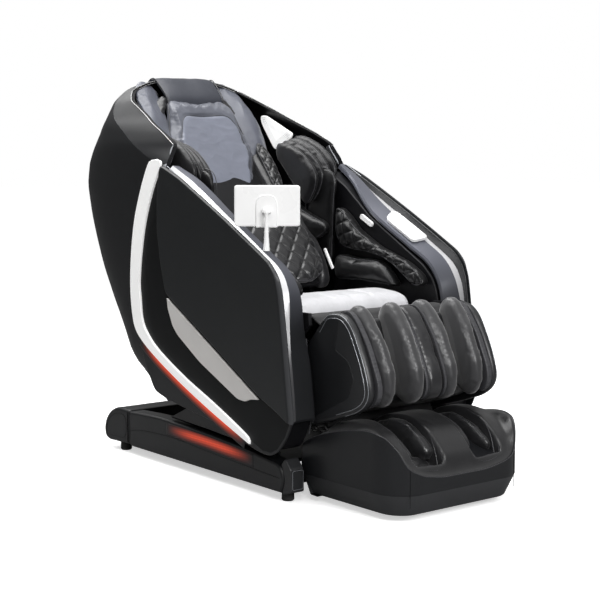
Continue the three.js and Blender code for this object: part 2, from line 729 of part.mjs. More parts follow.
function legrestActuator() {
  const tube = bar([LEG_MOTOR_X, -215, 338], [LEG_MOTOR_X, -385, 414.5], MOTOR_RADIUS - 1);
  return cut(tube, bar([LEG_MOTOR_X, -235, 347], LEG_END, MOTOR_BORE));
}
add("legrest_actuator", legrestActuator(), motorGrey);
add("legrest_rod", bar([LEG_MOTOR_X, -260, 358.3], LEG_END, ROD_RADIUS), steel);

// ---------- Calf rest ----------
const CALF_SIDE = [
  [-602, 582], [-579, 552], [-547, 510], [-505, 476], [-490, 456],
  [-509, 229], [-650, 269], [-739, 300], [-776, 323],
  [-795, 356], [-792, 392], [-773, 447], [-746, 502], [-715, 557], [-672, 588],
];
const CALF_EAR = [[-606, 574], [-530, 576], [-506, 572], [-503, 540], [-530, 536], [-580, 540]];

function calfShell() {
  const sides = [-1, 1].flatMap((side) => {
    const span = side > 0 ? [236, CALF_HALF] : [-CALF_HALF, -236];
    return [across(rounded(CALF_SIDE, 14), span, 2), across(polygon(CALF_EAR), span)];
  });
  const rear = [
    [-577, 546], [-547, 512], [-505, 478], [-492, 456], [-511, 230], [-538, 240], [-520, 450], [-604, 550],
  ];
  const back = across(polygon(rear), [-250, 250], 1);
  const divider = [
    [-640, 560], [-700, 560], [-752, 482], [-804, 396], [-806, 345], [-760, 312], [-530, 250], [-515, 450],
  ];
  const middle = across(rounded(divider, 12), [-26, 26], 2);
  const solid = join(back, ...sides, middle);
  return cut(solid, pin(LEGREST_PIVOT, [-270, 270], PIN_HOLE_RADIUS));
}

function calfPad() {
  const outline = [
    [-622, 572], [-646, 604], [-690, 604], [-740, 540], [-794, 420],
    [-798, 356], [-770, 322], [-556, 262], [-538, 450],
  ];
  const well = [[-560, 700], [-900, 700], [-900, 240], [-600, 240], [-585, 440]];
  const block = across(rounded(outline, 16), [28, 234]);
  return cut(block, across(rounded(well, 20), [104, 190], 2));
}
add("calf_shell", calfShell(), satinBlack);
addPair("calf_pad", calfPad(), leather);

// ---------- Foot rest ----------
const FOOT_PLAN = [
  [-LEGREST_HALF, -486], [-LEGREST_HALF, -858], [-206, -922],
  [206, -922], [LEGREST_HALF, -858], [LEGREST_HALF, -486],
];

const FOOT_ROLLER = { y: -690, z: 172 };

function footShell() {
  const side = [
    [-516, 14], [-868, 14], [-908, 42], [-922, 104],
    [-922, 116], [-700, 128], [-486, 128], [-486, 50],
  ];
  const block = across(polygon(side), [-LEGREST_HALF, LEGREST_HALF], 1);
  return common(block, upward(rounded(FOOT_PLAN, 36), [0, 300]));
}

// The cushion has a well for each foot and a channel for the roller shaft.
function footCushion() {
  const side = [
    [-487, 128.5], [-487, 160], [-560, 212], [-640, 250],
    [-712, 258], [-786, 242], [-852, 200], [-896, 156],
    [-921, 116.5], [-700, 128.5],
  ];
  const block = across(rounded(side, 10), [-LEGREST_HALF, LEGREST_HALF]);
  const body = common(block, upward(rounded(FOOT_PLAN, 36), [0, 300]));
  const wells = [-1, 1].map((wellSide) =>
    box([wellSide * 125 - 46, wellSide * 125 + 46], [-850, -570], [150, 300]),
  );
  const channel = box([-180, 180], [FOOT_ROLLER.y - 22, FOOT_ROLLER.y + 22], [150, 196]);
  return cut(body, ...wells, channel);
}

function footRollers() {
  const rollers = [-155, -95, 95, 155].map((x) => pin(FOOT_ROLLER, [x - 12, x + 12], 15));
  return join(pin(FOOT_ROLLER, [-160, 160], 5), ...rollers);
}
add("foot_shell", footShell(), satinBlack);
add("foot_cushion", footCushion(), leather);
add("foot_rollers", footRollers(), white);

export default chair;
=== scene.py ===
"""The looks of the massage chair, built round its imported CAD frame.

Shapes are drawn in metres from a zero midway between the feet; SHIFT moves them into the frame.
Paired pieces are drawn on the sitter's left (+X) and mirrored to the right.
"""
import json
import math

import bpy
import numpy as np
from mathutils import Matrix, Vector, kdtree, noise


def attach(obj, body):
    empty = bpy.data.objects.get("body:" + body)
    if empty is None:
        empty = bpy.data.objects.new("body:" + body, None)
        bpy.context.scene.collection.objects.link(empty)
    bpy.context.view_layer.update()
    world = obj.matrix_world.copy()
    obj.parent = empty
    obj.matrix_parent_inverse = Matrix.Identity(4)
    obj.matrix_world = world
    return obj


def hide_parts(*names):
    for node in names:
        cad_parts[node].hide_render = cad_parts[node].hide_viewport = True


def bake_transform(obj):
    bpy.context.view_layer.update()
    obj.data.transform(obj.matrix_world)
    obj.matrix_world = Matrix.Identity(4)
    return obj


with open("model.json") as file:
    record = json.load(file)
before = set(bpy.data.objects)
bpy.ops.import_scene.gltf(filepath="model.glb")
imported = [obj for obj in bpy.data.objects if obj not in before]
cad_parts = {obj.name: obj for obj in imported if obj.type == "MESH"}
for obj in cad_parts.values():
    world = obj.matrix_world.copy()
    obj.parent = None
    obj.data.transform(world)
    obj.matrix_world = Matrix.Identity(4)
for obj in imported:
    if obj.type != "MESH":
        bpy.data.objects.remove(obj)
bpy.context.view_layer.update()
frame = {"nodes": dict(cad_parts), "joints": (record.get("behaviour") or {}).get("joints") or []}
joints = {j["name"]: j for j in frame["joints"]}
scene = bpy.context.scene
SHIFT = joints["back_recline"]["pos_m"][1] - 0.100
CORD_ANGLE = 80  # degrees: cords are shaded round all the way

# ---------- Curves ----------


def spline(points, per=8, closed=False):
    """A smooth curve through the points."""
    p = np.asarray(points, float)
    if closed:
        ext = np.vstack([p[-1], p, p[0], p[1]])
    else:
        ext = np.vstack([2 * p[0] - p[1], p, 2 * p[-1] - p[-2]])
    t = np.linspace(0, 1, per, endpoint=False)[:, None]
    spans = []
    for i in range(len(ext) - 3):
        a, b, c, d = ext[i : i + 4]
        cubic = (2 * a - 5 * b + 4 * c - d) * t**2 + (3 * b - a - 3 * c + d) * t**3
        spans.append(0.5 * (2 * b + (c - a) * t + cubic))
    out = np.vstack(spans)
    return out if closed else np.vstack([out, p[-1]])


def resample(path, count, closed=False):
    """The same path as count points at equal steps."""
    p = np.asarray(path, float)
    if closed:
        p = np.vstack([p, p[0]])
    along = np.concatenate([[0], np.cumsum(np.linalg.norm(np.diff(p, axis=0), axis=1))])
    at = np.linspace(0, along[-1], count, endpoint=not closed)
    return np.stack([np.interp(at, along, p[:, k]) for k in range(p.shape[1])], 1)


def rounded(corners, radius, steps=6):
    """A closed outline with its corners rounded; radius is one number or one per corner."""
    p = np.asarray(corners, float)
    radii = np.broadcast_to(radius, len(p))
    out = []
    for i, corner in enumerate(p):
        before, after = p[i - 1], p[(i + 1) % len(p)]
        back = min(radii[i], np.linalg.norm(before - corner) / 2.02)
        ahead = min(radii[i], np.linalg.norm(after - corner) / 2.02)
        a = corner + (before - corner) / np.linalg.norm(before - corner) * back
        b = corner + (after - corner) / np.linalg.norm(after - corner) * ahead
        for t in np.linspace(0, 1, steps + 1):
            out.append((1 - t) ** 2 * a + 2 * t * (1 - t) * corner + t**2 * b)
    return np.array(out)


def smooth_ring(outline, radius, count, steps=6):
    """A closed outline with rounded corners, as count points at equal steps."""
    return resample(rounded(outline, radius, steps), count, True)


def turns(count):
    """Equal angles round a full circle."""
    return np.linspace(0, 2 * math.pi, count, endpoint=False)


def power(value, exponent):
    """The value's size raised to a power, with its sign kept."""
    return math.copysign(abs(value) ** exponent, value)


def inset(outline, distance):
    """A closed flat outline moved inward."""
    p = np.asarray(outline, float)
    before, after = p - np.roll(p, 1, 0), np.roll(p, -1, 0) - p
    normals = []
    for edge in (before, after):
        length = np.maximum(np.linalg.norm(edge, axis=1, keepdims=True), 1e-9)
        normals.append(np.stack([-edge[:, 1], edge[:, 0]], 1) / length)
    n = normals[0] + normals[1]
    n /= np.maximum(np.linalg.norm(n, axis=1, keepdims=True), 1e-9)
    area = np.sum(p[:, 0] * np.roll(p[:, 1], -1) - p[:, 1] * np.roll(p[:, 0], -1))
    stretch = 1 / np.maximum(np.sum(n * normals[0], 1), 0.5)
    return p + n * (distance * stretch * np.sign(area))[:, None]


def both_sides(line):
    """A line that ends on the middle plane, carried on over its mirror image."""
    return np.vstack([line, (line * [-1, 1, 1])[::-1][1:]])


def side_view(points, x):
    """(y, z) points as 3-D points in the plane at x; x is one number or one per point."""
    p = np.asarray(points, float)
    return np.column_stack([np.broadcast_to(x, len(p)), p[:, 0], p[:, 1]])


def table(pairs):
    """A smooth function through (position, value) pairs that never overshoots between them."""
    xs, ys = np.array(pairs, float).T
    step = np.diff(xs)
    rise = np.diff(ys) / step
    product = rise[:-1] * rise[1:]
    inner = np.where(product > 0, 2 * product / np.where(product > 0, rise[:-1] + rise[1:], 1), 0)
    slope = np.concatenate([rise[:1], inner, rise[-1:]])

    def read(at):
        at = np.clip(at, xs[0], xs[-1])
        i = np.clip(np.searchsorted(xs, at) - 1, 0, len(step) - 1)
        t = (at - xs[i]) / step[i]
        values = (1 + 2 * t) * (1 - t) ** 2 * ys[i] + t * t * (3 - 2 * t) * ys[i + 1]
        return values + t * (1 - t) * step[i] * ((1 - t) * slope[i] - t * slope[i + 1])

    return read


# ---------- Meshes ----------


class Shape:
    """Points, faces and a material number for each face, gathered before they become one object."""

    def __init__(self):
        self.points, self.faces, self.kinds = [], [], []

    def grid(self, rows, kind=0, close_rows=False, close_columns=False):
        """Quads over rows of points; kind is a material number or a function of the row number."""
        rows = np.asarray(rows, float)
        n, m = rows.shape[:2]
        start = len(self.points)
        self.points.extend(rows.reshape(-1, 3).tolist())
        for r in range(n if close_rows else n - 1):
            for c in range(m if close_columns else m - 1):
                r2, c2 = (r + 1) % n, (c + 1) % m
                quad = [r * m + c, r * m + c2, r2 * m + c2, r2 * m + c]
                self.faces.append([start + i for i in quad])
                self.kinds.append(kind(r) if callable(kind) else kind)
        return self

    def loft(self, rings, kind=0):
        """A closed solid through rings of points."""
        rings = np.asarray(rings, float)
        m = rings.shape[1]
        start = len(self.points)
        self.grid(rings, kind, close_columns=True)
        last = start + (len(rings) - 1) * m
        self.faces += [[start + i for i in range(m)][::-1], [last + i for i in range(m)]]
        ends = (kind(0), kind(len(rings) - 2)) if callable(kind) else (kind, kind)
        self.kinds += list(ends)
        return self

    def slab(self, outline, x0, x1, bevel, kind=0, steps=4, axis=0):
        """An outline in the plane of the other two axes, drawn out along an axis, with rounded rims."""
        turn = np.linspace(0, math.pi / 2, steps + 1)
        rim = [(bevel * (1 - math.sin(a)), bevel * (1 - math.cos(a))) for a in turn]
        levels = [(i, x0 + s) for i, s in rim] + [(i, x1 - s) for i, s in rim[::-1]]
        rings = []
        for amount, level in levels:
            flat = inset(outline, amount)
            rings.append(np.insert(flat, axis, level, axis=1))
        return self.loft(rings, kind)

    def tube(self, path, radius, kind=0, sides=7, closed=False):
        """A round cord along a path."""
        p = np.asarray(path, float)
        ahead = np.roll(p, -1, 0) - np.roll(p, 1, 0)
        if not closed:
            ahead[0], ahead[-1] = p[1] - p[0], p[-1] - p[-2]
        ahead /= np.maximum(np.linalg.norm(ahead, axis=1, keepdims=True), 1e-9)
        side = np.cross(ahead[0], [0.31, 0.52, 0.8])
        rings = []
        for point, forward in zip(p, ahead):
            side = side - forward * (side @ forward)
            side /= max(np.linalg.norm(side), 1e-9)
            up = np.cross(forward, side)
            rings.append([point + radius * (math.cos(a) * side + math.sin(a) * up) for a in turns(sides)])
        if closed:
            return self.grid(rings, kind, close_rows=True, close_columns=True)
        return self.loft(rings, kind)

    def loop(self, path, radius, kind=1, sides=5):
        """A closed round cord."""
        return self.tube(path, radius, kind, sides, True)

    def sheet(self, rows, thickness):
        """A thin closed solid whose outer face is the grid of rows."""
        rows = np.asarray(rows, float)
        along = np.gradient(rows, axis=0)
        across = np.gradient(rows, axis=1)
        normal = np.cross(along, across)
        normal /= np.maximum(np.linalg.norm(normal, axis=2, keepdims=True), 1e-9)
        under = rows - normal * thickness
        return self.loft(np.concatenate([rows, under[:, ::-1]], axis=1))

    def moved(self, move):
        """Every point passed through a function of the whole array of points."""
        self.points = move(np.array(self.points)).tolist()
        return self

    def mirrored(self):
        """The mirror image of the shape about x = 0."""
        other = Shape()
        other.points = [[-x, y, z] for x, y, z in self.points]
        other.faces = [face[::-1] for face in self.faces]
        other.kinds = list(self.kinds)
        return other


def coordinates(obj):
    """The object's vertices as an array."""
    out = np.empty(len(obj.data.vertices) * 3)
    obj.data.vertices.foreach_get("co", out)
    return out.reshape(-1, 3)


def normals_of(obj):
    """The object's vertex normals as an array."""
    out = np.empty(len(obj.data.vertices) * 3, np.float32)
    obj.data.vertex_normals.foreach_get("vector", out)
    return out.reshape(-1, 3).astype(float)


def set_coordinates(obj, points):
    """Writes an array back to the object's vertices."""
    obj.data.vertices.foreach_set("co", np.asarray(points, float).ravel())
    obj.data.update()


def bake(obj):
    """Turns the object's modifiers into its mesh."""
    bpy.context.view_layer.update()
    evaluated = obj.evaluated_get(bpy.context.evaluated_depsgraph_get())
    mesh = bpy.data.meshes.new_from_object(evaluated)
    obj.modifiers.clear()
    obj.data = mesh


def outward(mesh):
    """Turns the faces of a closed mesh outward."""
    mesh.calc_loop_triangles()
    points = np.array([v.co for v in mesh.vertices])
    corners = points[np.array([t.vertices for t in mesh.loop_triangles])]
    volume = np.einsum("ij,ij->i", corners[:, 0], np.cross(corners[:, 1], corners[:, 2])).sum()
    if volume < 0:
        mesh.flip_normals()


def to_object(shape, name, materials):
    """A Blender object made of a shape, moved into the frame."""
    mesh = bpy.data.meshes.new(name)
    points = np.array(shape.points) + [0, SHIFT, 0]
    mesh.from_pydata(points.tolist(), [], shape.faces)
    mesh.validate()
    mesh.update()
    outward(mesh)
    for material in materials:
        mesh.materials.append(material)
    if len(mesh.polygons) == len(shape.kinds):
        mesh.polygons.foreach_set("material_index", shape.kinds)
    obj = bpy.data.objects.new(name, mesh)
    scene.collection.objects.link(obj)
    return obj


def place(obj, body, slot, replaces=()):
    """Puts a piece on its body and hides the CAD nodes it stands for; its colour slot is not used."""
    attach(obj, body)
    if replaces:
        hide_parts(*replaces)
    return obj


def crisp_borders(mesh):
    """Keeps the edges between two materials crisp."""
    edges = {}
    for face in mesh.polygons:
        for key in face.edge_keys:
            edges.setdefault(key, set()).add(face.material_index)
    sharp = mesh.attributes.get("sharp_edge") or mesh.attributes.new("sharp_edge", "BOOLEAN", "EDGE")
    for edge, flag in zip(mesh.edges, sharp.data):
        if len(edges.get(edge.key, ())) > 1:
            flag.value = True


def hard(shape, name, materials, body, slot, replaces=(), angle=38, borders=False):
    """A rigid piece with crisp edges where its faces turn by more than the angle."""
    obj = to_object(shape, name, materials)
    obj.data.shade_smooth()
    obj.data.set_sharp_from_angle(angle=math.radians(angle))
    if borders:
        crisp_borders(obj.data)
    weighted = obj.modifiers.new("weighted", "WEIGHTED_NORMAL")
    weighted.keep_sharp = True
    bake(obj)
    return place(obj, body, slot, replaces)


def hard_pair(shape, name, materials, body, slot, nodes=(), angle=38):
    """A rigid piece and its mirror image."""
    for side, drawn in (("left", shape), ("right", shape.mirrored())):
        replaced = [f"{node}_{side}" for node in nodes]
        hard(drawn, f"{name}_{side}", materials, body, slot, replaced, angle)


def mirror_object(obj, name):
    """A mirrored copy of a finished piece."""
    other = bpy.data.objects.new(name, obj.data.copy())
    scene.collection.objects.link(other)
    set_coordinates(other, coordinates(obj) * [-1, 1, 1])
    other.data.flip_normals()
    other.data.shade_smooth()
    return other


# ---------- Padding ----------

CLOTH_FRAMES = 20


def inflate(obj, cap, voxel):
    """Swells a closed mesh as filled fabric; no point moves further than the cap."""
    remesh = obj.modifiers.new("remesh", "REMESH")
    remesh.mode = "VOXEL"
    remesh.voxel_size = voxel
    bake(obj)
    smooth = obj.modifiers.new("smooth", "SMOOTH")
    smooth.factor = 0.5
    smooth.iterations = 3
    bake(obj)
    start = coordinates(obj)
    cloth = obj.modifiers.new("cloth", "CLOTH")
    cloth.settings.quality = 4
    cloth.settings.use_pressure = True
    cloth.settings.uniform_pressure_force = 4.0
    cloth.settings.effector_weights.gravity = 0
    for number in range(1, CLOTH_FRAMES + 1):
        scene.frame_set(number)
    bake(obj)
    scene.frame_set(1)
    moved = coordinates(obj)
    step = moved - start
    length = np.maximum(np.linalg.norm(step, axis=1, keepdims=True), 1e-9)
    set_coordinates(obj, start + step * np.minimum(1, cap / length))
    fine = obj.modifiers.new("fine", "SUBSURF")
    fine.levels = 1
    bake(obj)
    obj.data.shade_smooth()
    return obj


def shifted(points):
    """Drawn points moved into the frame."""
    return np.asarray(points, float) + [0, SHIFT, 0]


def crown(obj, ring, height, outer=1.0):
    """Swells the wide faces of an upright cushion: nothing at its (y, z) outline, most in its middle."""
    tree = kdtree.KDTree(len(ring))
    for i, (y, z) in enumerate(ring):
        tree.insert((0, y + SHIFT, z), i)
    tree.balance()
    points = coordinates(obj)
    away = np.array([tree.find((0, p[1], p[2]))[2] for p in points])
    middle = (points[:, 0].min() + points[:, 0].max()) / 2
    side = (points[:, 0] - middle) / (points[:, 0].max() - middle)
    points[:, 0] += height * np.sqrt(away / away.max()) * np.where(side > 0, outer, 1.0) * side
    set_coordinates(obj, points)


def crease(obj, path, depth, width):
    """Pulls the surface in along a sewn line."""
    line = shifted(resample(path, max(2, int(np.linalg.norm(np.diff(path, axis=0), axis=1).sum() / 0.003))))
    tree = kdtree.KDTree(len(line))
    for i, point in enumerate(line):
        tree.insert(point, i)
    tree.balance()
    points, normals = coordinates(obj), normals_of(obj)
    near = np.array([tree.find(Vector(p))[2] for p in points])
    set_coordinates(obj, points - normals * (depth * np.exp(-((near / width) ** 2)))[:, None])


def drape(obj, path, lift=0.001, toward=None):
    """The path moved onto the object's surface. With a direction, it is found by looking that way."""
    bpy.context.view_layer.update()
    out = []
    for point in shifted(path):
        if toward is None:
            found, where, normal, _ = obj.closest_point_on_mesh(Vector(point))
        else:
            ray = Vector(toward).normalized()
            found, where, normal, _ = obj.ray_cast(Vector(point) - ray * 0.3, ray)
        if not found:
            where, normal = Vector(point), Vector((0, 0, 0))
        out.append(np.array(where + normal * lift) - [0, SHIFT, 0])
    out = np.array(out)
    closed = np.linalg.norm(out[0] - out[-1]) < 3 * np.linalg.norm(np.diff(out, axis=0), axis=1).mean()
    for _ in range(5):
        mean = (np.roll(out, 1, 0) + out + np.roll(out, -1, 0)) / 3
        if not closed:
            mean[0], mean[-1] = out[0], out[-1]
        out = mean
    return out


def wrinkle(obj, strength, scale, seed=0.0, mask=None):
    """Raises soft folds; scale is how fast they repeat along x, y and z."""
    points, normals = coordinates(obj), normals_of(obj)
    grown = points * np.asarray(scale, float) + seed
    folds = np.array([noise.noise(Vector(p)) + 0.5 * noise.noise(Vector(p * 2.1)) for p in grown])
    height = strength * (0.5 - np.abs(folds) * 2.2)
    if mask is not None:
        height = height * mask(points - [0, SHIFT, 0])
    set_coordinates(obj, points + normals * height[:, None])


def quilt(obj, origin, u, v, pitch, depth):
    """Sews a diamond pattern into the faces that look along u cross v."""
    points, normals = coordinates(obj), normals_of(obj)
    u, v = np.asarray(u, float), np.asarray(v, float)
    a = (points - shifted([origin])[0]) @ u / pitch[0]
    b = (points - shifted([origin])[0]) @ v / pitch[1]
    lines = [np.abs((w + 0.5) % 1 - 0.5) for w in (a + b, a - b)]
    groove = np.maximum(np.exp(-((lines[0] / 0.09) ** 2)), np.exp(-((lines[1] / 0.09) ** 2)))
    swell = np.sin(math.pi * lines[0]) * np.sin(math.pi * lines[1])
    facing = np.clip((normals @ np.cross(u, v) - 0.25) * 3, 0, 1)
    set_coordinates(obj, points + normals * (facing * depth * (0.8 * swell - groove))[:, None])


def smoothstep(value, low, high):
    """0 below low, 1 above high, and an S curve between them."""
    t = np.clip((value - low) / (high - low), 0, 1)
    return t * t * (3 - 2 * t)


# ---------- Materials ----------


class Nodes:
    """Short calls for building one material's nodes, or the world's."""

    def __init__(self, name, kind="materials"):
        self.block = getattr(bpy.data, kind).new(name)
        self.block.use_nodes = True
        self.tree = self.block.node_tree
        if kind == "worlds":
            self.tree.nodes.clear()
            return
        self.shader = next(n for n in self.tree.nodes if n.type == "BSDF_PRINCIPLED")
        self.place = self.add("ShaderNodeTexCoord").outputs["Object"]

    def add(self, kind, inputs=None, **settings):
        """A new node; each of its inputs is given a value, or linked to another node's output."""
        node = self.tree.nodes.new(kind)
        for key, value in settings.items():
            setattr(node, key, value)
        self.feed(node, inputs or {})
        return node

    def feed(self, node, inputs):
        """Sets or links a node's inputs by name."""
        for key, value in inputs.items():
            if isinstance(value, bpy.types.NodeSocket):
                self.tree.links.new(value, node.inputs[key])
            else:
                node.inputs[key].default_value = value

    def surface(self, **inputs):
        """Feeds the shader, with its inputs' spaces written as underscores; returns the material."""
        self.feed(self.shader, {key.replace("_", " "): value for key, value in inputs.items()})
        return self.block

    def noise(self, scale, detail=3.0, stretch=(1, 1, 1)):
        """Soft noise from 0 to 1; stretch is how fast it repeats along each axis."""
        mapping = self.add("ShaderNodeMapping", {"Scale": stretch, "Vector": self.place})
        inputs = {"Scale": scale, "Detail": detail, "Vector": mapping.outputs["Vector"]}
        return self.add("ShaderNodeTexNoise", inputs).outputs["Fac"]

    def cells(self, inputs, **settings):
        """Distances in a pattern of cells."""
        node = self.add("ShaderNodeTexVoronoi", {**inputs, "Vector": self.place}, **settings)
        return node.outputs["Distance"]

    def ramp(self, value, low, high, start=0.0, end=1.0, **settings):
        """value moved from start..end to low..high."""
        inputs = {"From Min": start, "From Max": end, "To Min": low, "To Max": high, "Value": value}
        return self.add("ShaderNodeMapRange", inputs, **settings).outputs["Result"]

    def mix(self, factor, first, second, **settings):
        """A colour between two; each may be a colour or another node's output."""
        inputs = {"Factor": factor}
        for key, value in (("A", first), ("B", second)):
            inputs[key] = value if isinstance(value, bpy.types.NodeSocket) else (*value, 1)
        return self.add("ShaderNodeMix", inputs, data_type="RGBA", **settings).outputs["Result"]

    def bump(self, height, strength, distance, below=None):
        """A surface roughened by a height, on top of an earlier bump."""
        inputs = {"Strength": strength, "Distance": distance, "Height": height}
        if below is not None:
            inputs["Normal"] = below
        return self.add("ShaderNodeBump", inputs).outputs["Normal"]

    def times(self, first, second):
        """The product of two values."""
        return self.add("ShaderNodeMath", {0: first, 1: second}, operation="MULTIPLY").outputs["Value"]


def shade(color, factor):
    """A colour made darker or brighter."""
    return tuple(min(1.0, c * factor) for c in color)


def plastic(name, color, roughness, coat=0.0, grain=900, depth=0.00006, metal=0.0, shine=0.5):
    """Moulded or painted plastic: a fine orange peel, slight mottling and paler edges, partly wear and partly
    painted highlight.
    """
    n = Nodes(name)
    mottle = n.mix(n.noise(7, 4), shade(color, 0.86), shade(color, 1.12))
    # Convex edges are painted paler: partly wear, partly a painted highlight.
    edge = n.add("ShaderNodeNewGeometry").outputs["Pointiness"]
    edge_wear_and_highlight = n.ramp(edge, 0.0, 0.25, 0.53, 0.62)
    return n.surface(
        Base_Color=n.mix(edge_wear_and_highlight, mottle, shade(color, 2.2)),
        Roughness=n.ramp(n.noise(16, 3), roughness * 0.86, roughness * 1.14),
        Normal=n.bump(n.noise(grain, 2), 0.25, depth),
        Coat_Weight=coat,
        Coat_Roughness=0.12,
        Metallic=metal,
        Specular_IOR_Level=shine,
    )


def satin_with_painted_shade(name, color, low_color, low, high):
    """Satin paint with painted shade: it darkens from one height (z) down to a lower one."""
    n = Nodes(name)
    height = n.add("ShaderNodeSeparateXYZ", {"Vector": n.place}).outputs["Z"]
    # Painted shade: low_color below, color above.
    at = n.ramp(height, 0.0, 1.0, low, high, interpolation_type="SMOOTHSTEP")
    base = n.mix(at, low_color, color)
    speckled = n.add("ShaderNodeMix", {"Factor": 1.0, "A": base}, data_type="RGBA", blend_type="MULTIPLY")
    n.feed(speckled, {"B": n.mix(n.noise(9, 4), (0.86, 0.86, 0.86), (1, 1, 1))})
    return n.surface(
        Base_Color=speckled.outputs["Result"],
        Roughness=n.ramp(n.noise(16, 3), 0.28, 0.38),
        Normal=n.bump(n.noise(900, 2), 0.25, 0.00006),
        Metallic=0.3,
    )


def leather(name, color, roughness, sheen=0.1, grain=480, coat=0.15, streaks=False, folds=0.0028,
            shine=0.5):
    """Coated leather: pebbled cells, soft creases and a colour that varies with wear."""
    n = Nodes(name)
    broad = n.mix(n.noise(5, 5), shade(color, 0.78), shade(color, 1.2))
    gloss = n.ramp(n.noise(30, 4), roughness * 0.8, roughness * 1.25)
    pores = n.bump(n.cells({"Scale": grain}, feature="DISTANCE_TO_EDGE"), 0.35, 0.0004)
    creases = n.bump(n.noise(38, 6, (1, 1, 0.35)), 0.28, folds, pores)
    if streaks:
        creases = n.bump(n.noise(30, 3, (5, 0.12, 0.4)), 0.35, 0.004, creases)
    return n.surface(
        Base_Color=broad,
        Roughness=gloss,
        Normal=creases,
        Sheen_Weight=sheen,
        Coat_Weight=coat,
        Coat_Roughness=0.3,
        Specular_IOR_Level=shine,
    )


def perforated(name, color):
    """Leather punched with rows of small holes."""
    n = Nodes(name)
    hole = n.ramp(n.cells({"Scale": 190, "Randomness": 0.0}), 0.0, 1.0, 0.22, 0.34)
    return n.surface(
        Base_Color=n.mix(hole, (0.002, 0.002, 0.002), color),
        Normal=n.bump(hole, 0.7, 0.001),
        Roughness=0.42,
    )


def glowing(name, color, roughness, light, strength, dots=False):
    """Dark plastic lit in places: the mesh's "glow" attribute says where, from 0 to 1."""
    n = Nodes(name)
    base = n.mix(n.noise(9, 4), shade(color, 0.85), shade(color, 1.15))
    gloss = n.ramp(n.noise(16, 3), roughness * 0.86, roughness * 1.14)
    peel = n.bump(n.noise(900, 2), 0.25, 0.00006)
    place = n.add("ShaderNodeAttribute", attribute_name="glow").outputs["Fac"]
    amount = n.times(place, strength)
    if dots:
        grid = n.cells({"Scale": 130, "Randomness": 0.0})
        amount = n.times(amount, n.ramp(grid, 1.25, 0.8, 0.2, 0.45))
    return n.surface(
        Base_Color=base,
        Roughness=gloss,
        Normal=peel,
        Emission_Color=(*light, 1),
        Emission_Strength=amount,
    )


def lamp_cover(name, color, strength):
    """A milky white light cover whose brightness varies softly."""
    n = Nodes(name)
    return n.surface(
        Base_Color=n.mix(n.noise(25, 3), shade(color, 0.95), color),
        Emission_Strength=n.ramp(n.noise(14, 2), strength * 0.85, strength),
        Emission_Color=(1, 1, 1, 1),
        Roughness=0.25,
    )


def metal(name, color, roughness):
    """Painted metal with fine scratches."""
    n = Nodes(name)
    base = n.mix(n.noise(11, 5), shade(color, 0.82), shade(color, 1.1))
    lines = n.noise(160, 4)
    return n.surface(
        Base_Color=base,
        Roughness=n.ramp(lines, roughness * 0.75, roughness * 1.3),
        Normal=n.bump(lines, 0.12, 0.0002),
        Metallic=0.85,
    )


RED = (1.0, 0.09, 0.03)
PANEL = plastic("panel_black", (0.0092, 0.0104, 0.0116), 0.42, grain=700)
# Near-black plastic for the screen and dark joints; on the arm skirt it is a plate of painted shade.
RECESS_BLACK_AND_SHADE = plastic("recess_black_and_painted_shade", (0.004, 0.0045, 0.005), 0.42, shine=0.2)
SHELL = plastic("shell_black", (0.0078, 0.0084, 0.0096), 0.38)
# Paler plastic as painted light: the arm panels' front chamfer and the foot casing's bottom bevel take it
# where they catch the light.
BAND = plastic("front_band", (0.032, 0.033, 0.036), 0.38)
# Wing band: paler, duller plastic as painted light on the shell's sloped bevel band, which faces the overhead
# light.
WING = plastic("wing_band", (0.013, 0.0135, 0.015), 0.44, shine=0.2)
INNER = plastic("inner_black", (0.004, 0.004, 0.005), 0.45, shine=0.25)
# Arm top: its blue-grey is partly a painted reflection of the overhead light on dark satin, and it darkens
# lower down as painted shade.
ARM_TOP = satin_with_painted_shade("arm_satin", (0.115, 0.12, 0.145), (0.018, 0.019, 0.021), 0.50, 0.76)
# Arm facet: the near-white is a painted highlight of the overhead light on the outer facet; lower down it
# fades to dark as painted shade.
ARM_FACET_PAINTED_HIGHLIGHT = satin_with_painted_shade("arm_facet_painted_highlight", (0.95, 0.95, 0.965), (0.05, 0.05, 0.054), 0.42, 0.74)
# Pale edge satin; on the arm's top edge cord and the wing's front tip it is a painted highlight.
EDGE = plastic("edge_satin", (0.30, 0.31, 0.33), 0.28, metal=0.6)
TRIM = metal("trim_silver", (0.42, 0.42, 0.42), 0.26)
BADGE = plastic("badge_silver", (0.74, 0.72, 0.70), 0.36, metal=0.10)
STRIP = lamp_cover("strip_white", (0.90, 0.90, 0.89), 0.30)
WHITE = plastic("white_plastic", (0.93, 0.93, 0.925), 0.28, coat=0.2, depth=0.00003)
# The speaker cover is no lamp: its glow is painted light that brightens it.
SPEAKER_WHITE_PAINTED_LIGHT = lamp_cover("speaker_white_painted_light", (0.90, 0.90, 0.89), 0.42)
WHITE_LINE = plastic("white_groove", (0.50, 0.50, 0.51), 0.45)
BLACK_LEATHER = leather("black_leather", (0.0065, 0.0065, 0.0075), 0.31)
# A darker, duller copy of the black leather for the cushions inside the cabin: painted shade.
CABIN_LEATHER_PAINTED_SHADE = leather("cabin_leather_painted_shade", (0.003, 0.003, 0.0035), 0.34, sheen=0.03, coat=0.05, shine=0.35)
QUILT_LEATHER = leather("quilt_leather", (0.011, 0.011, 0.012), 0.30)
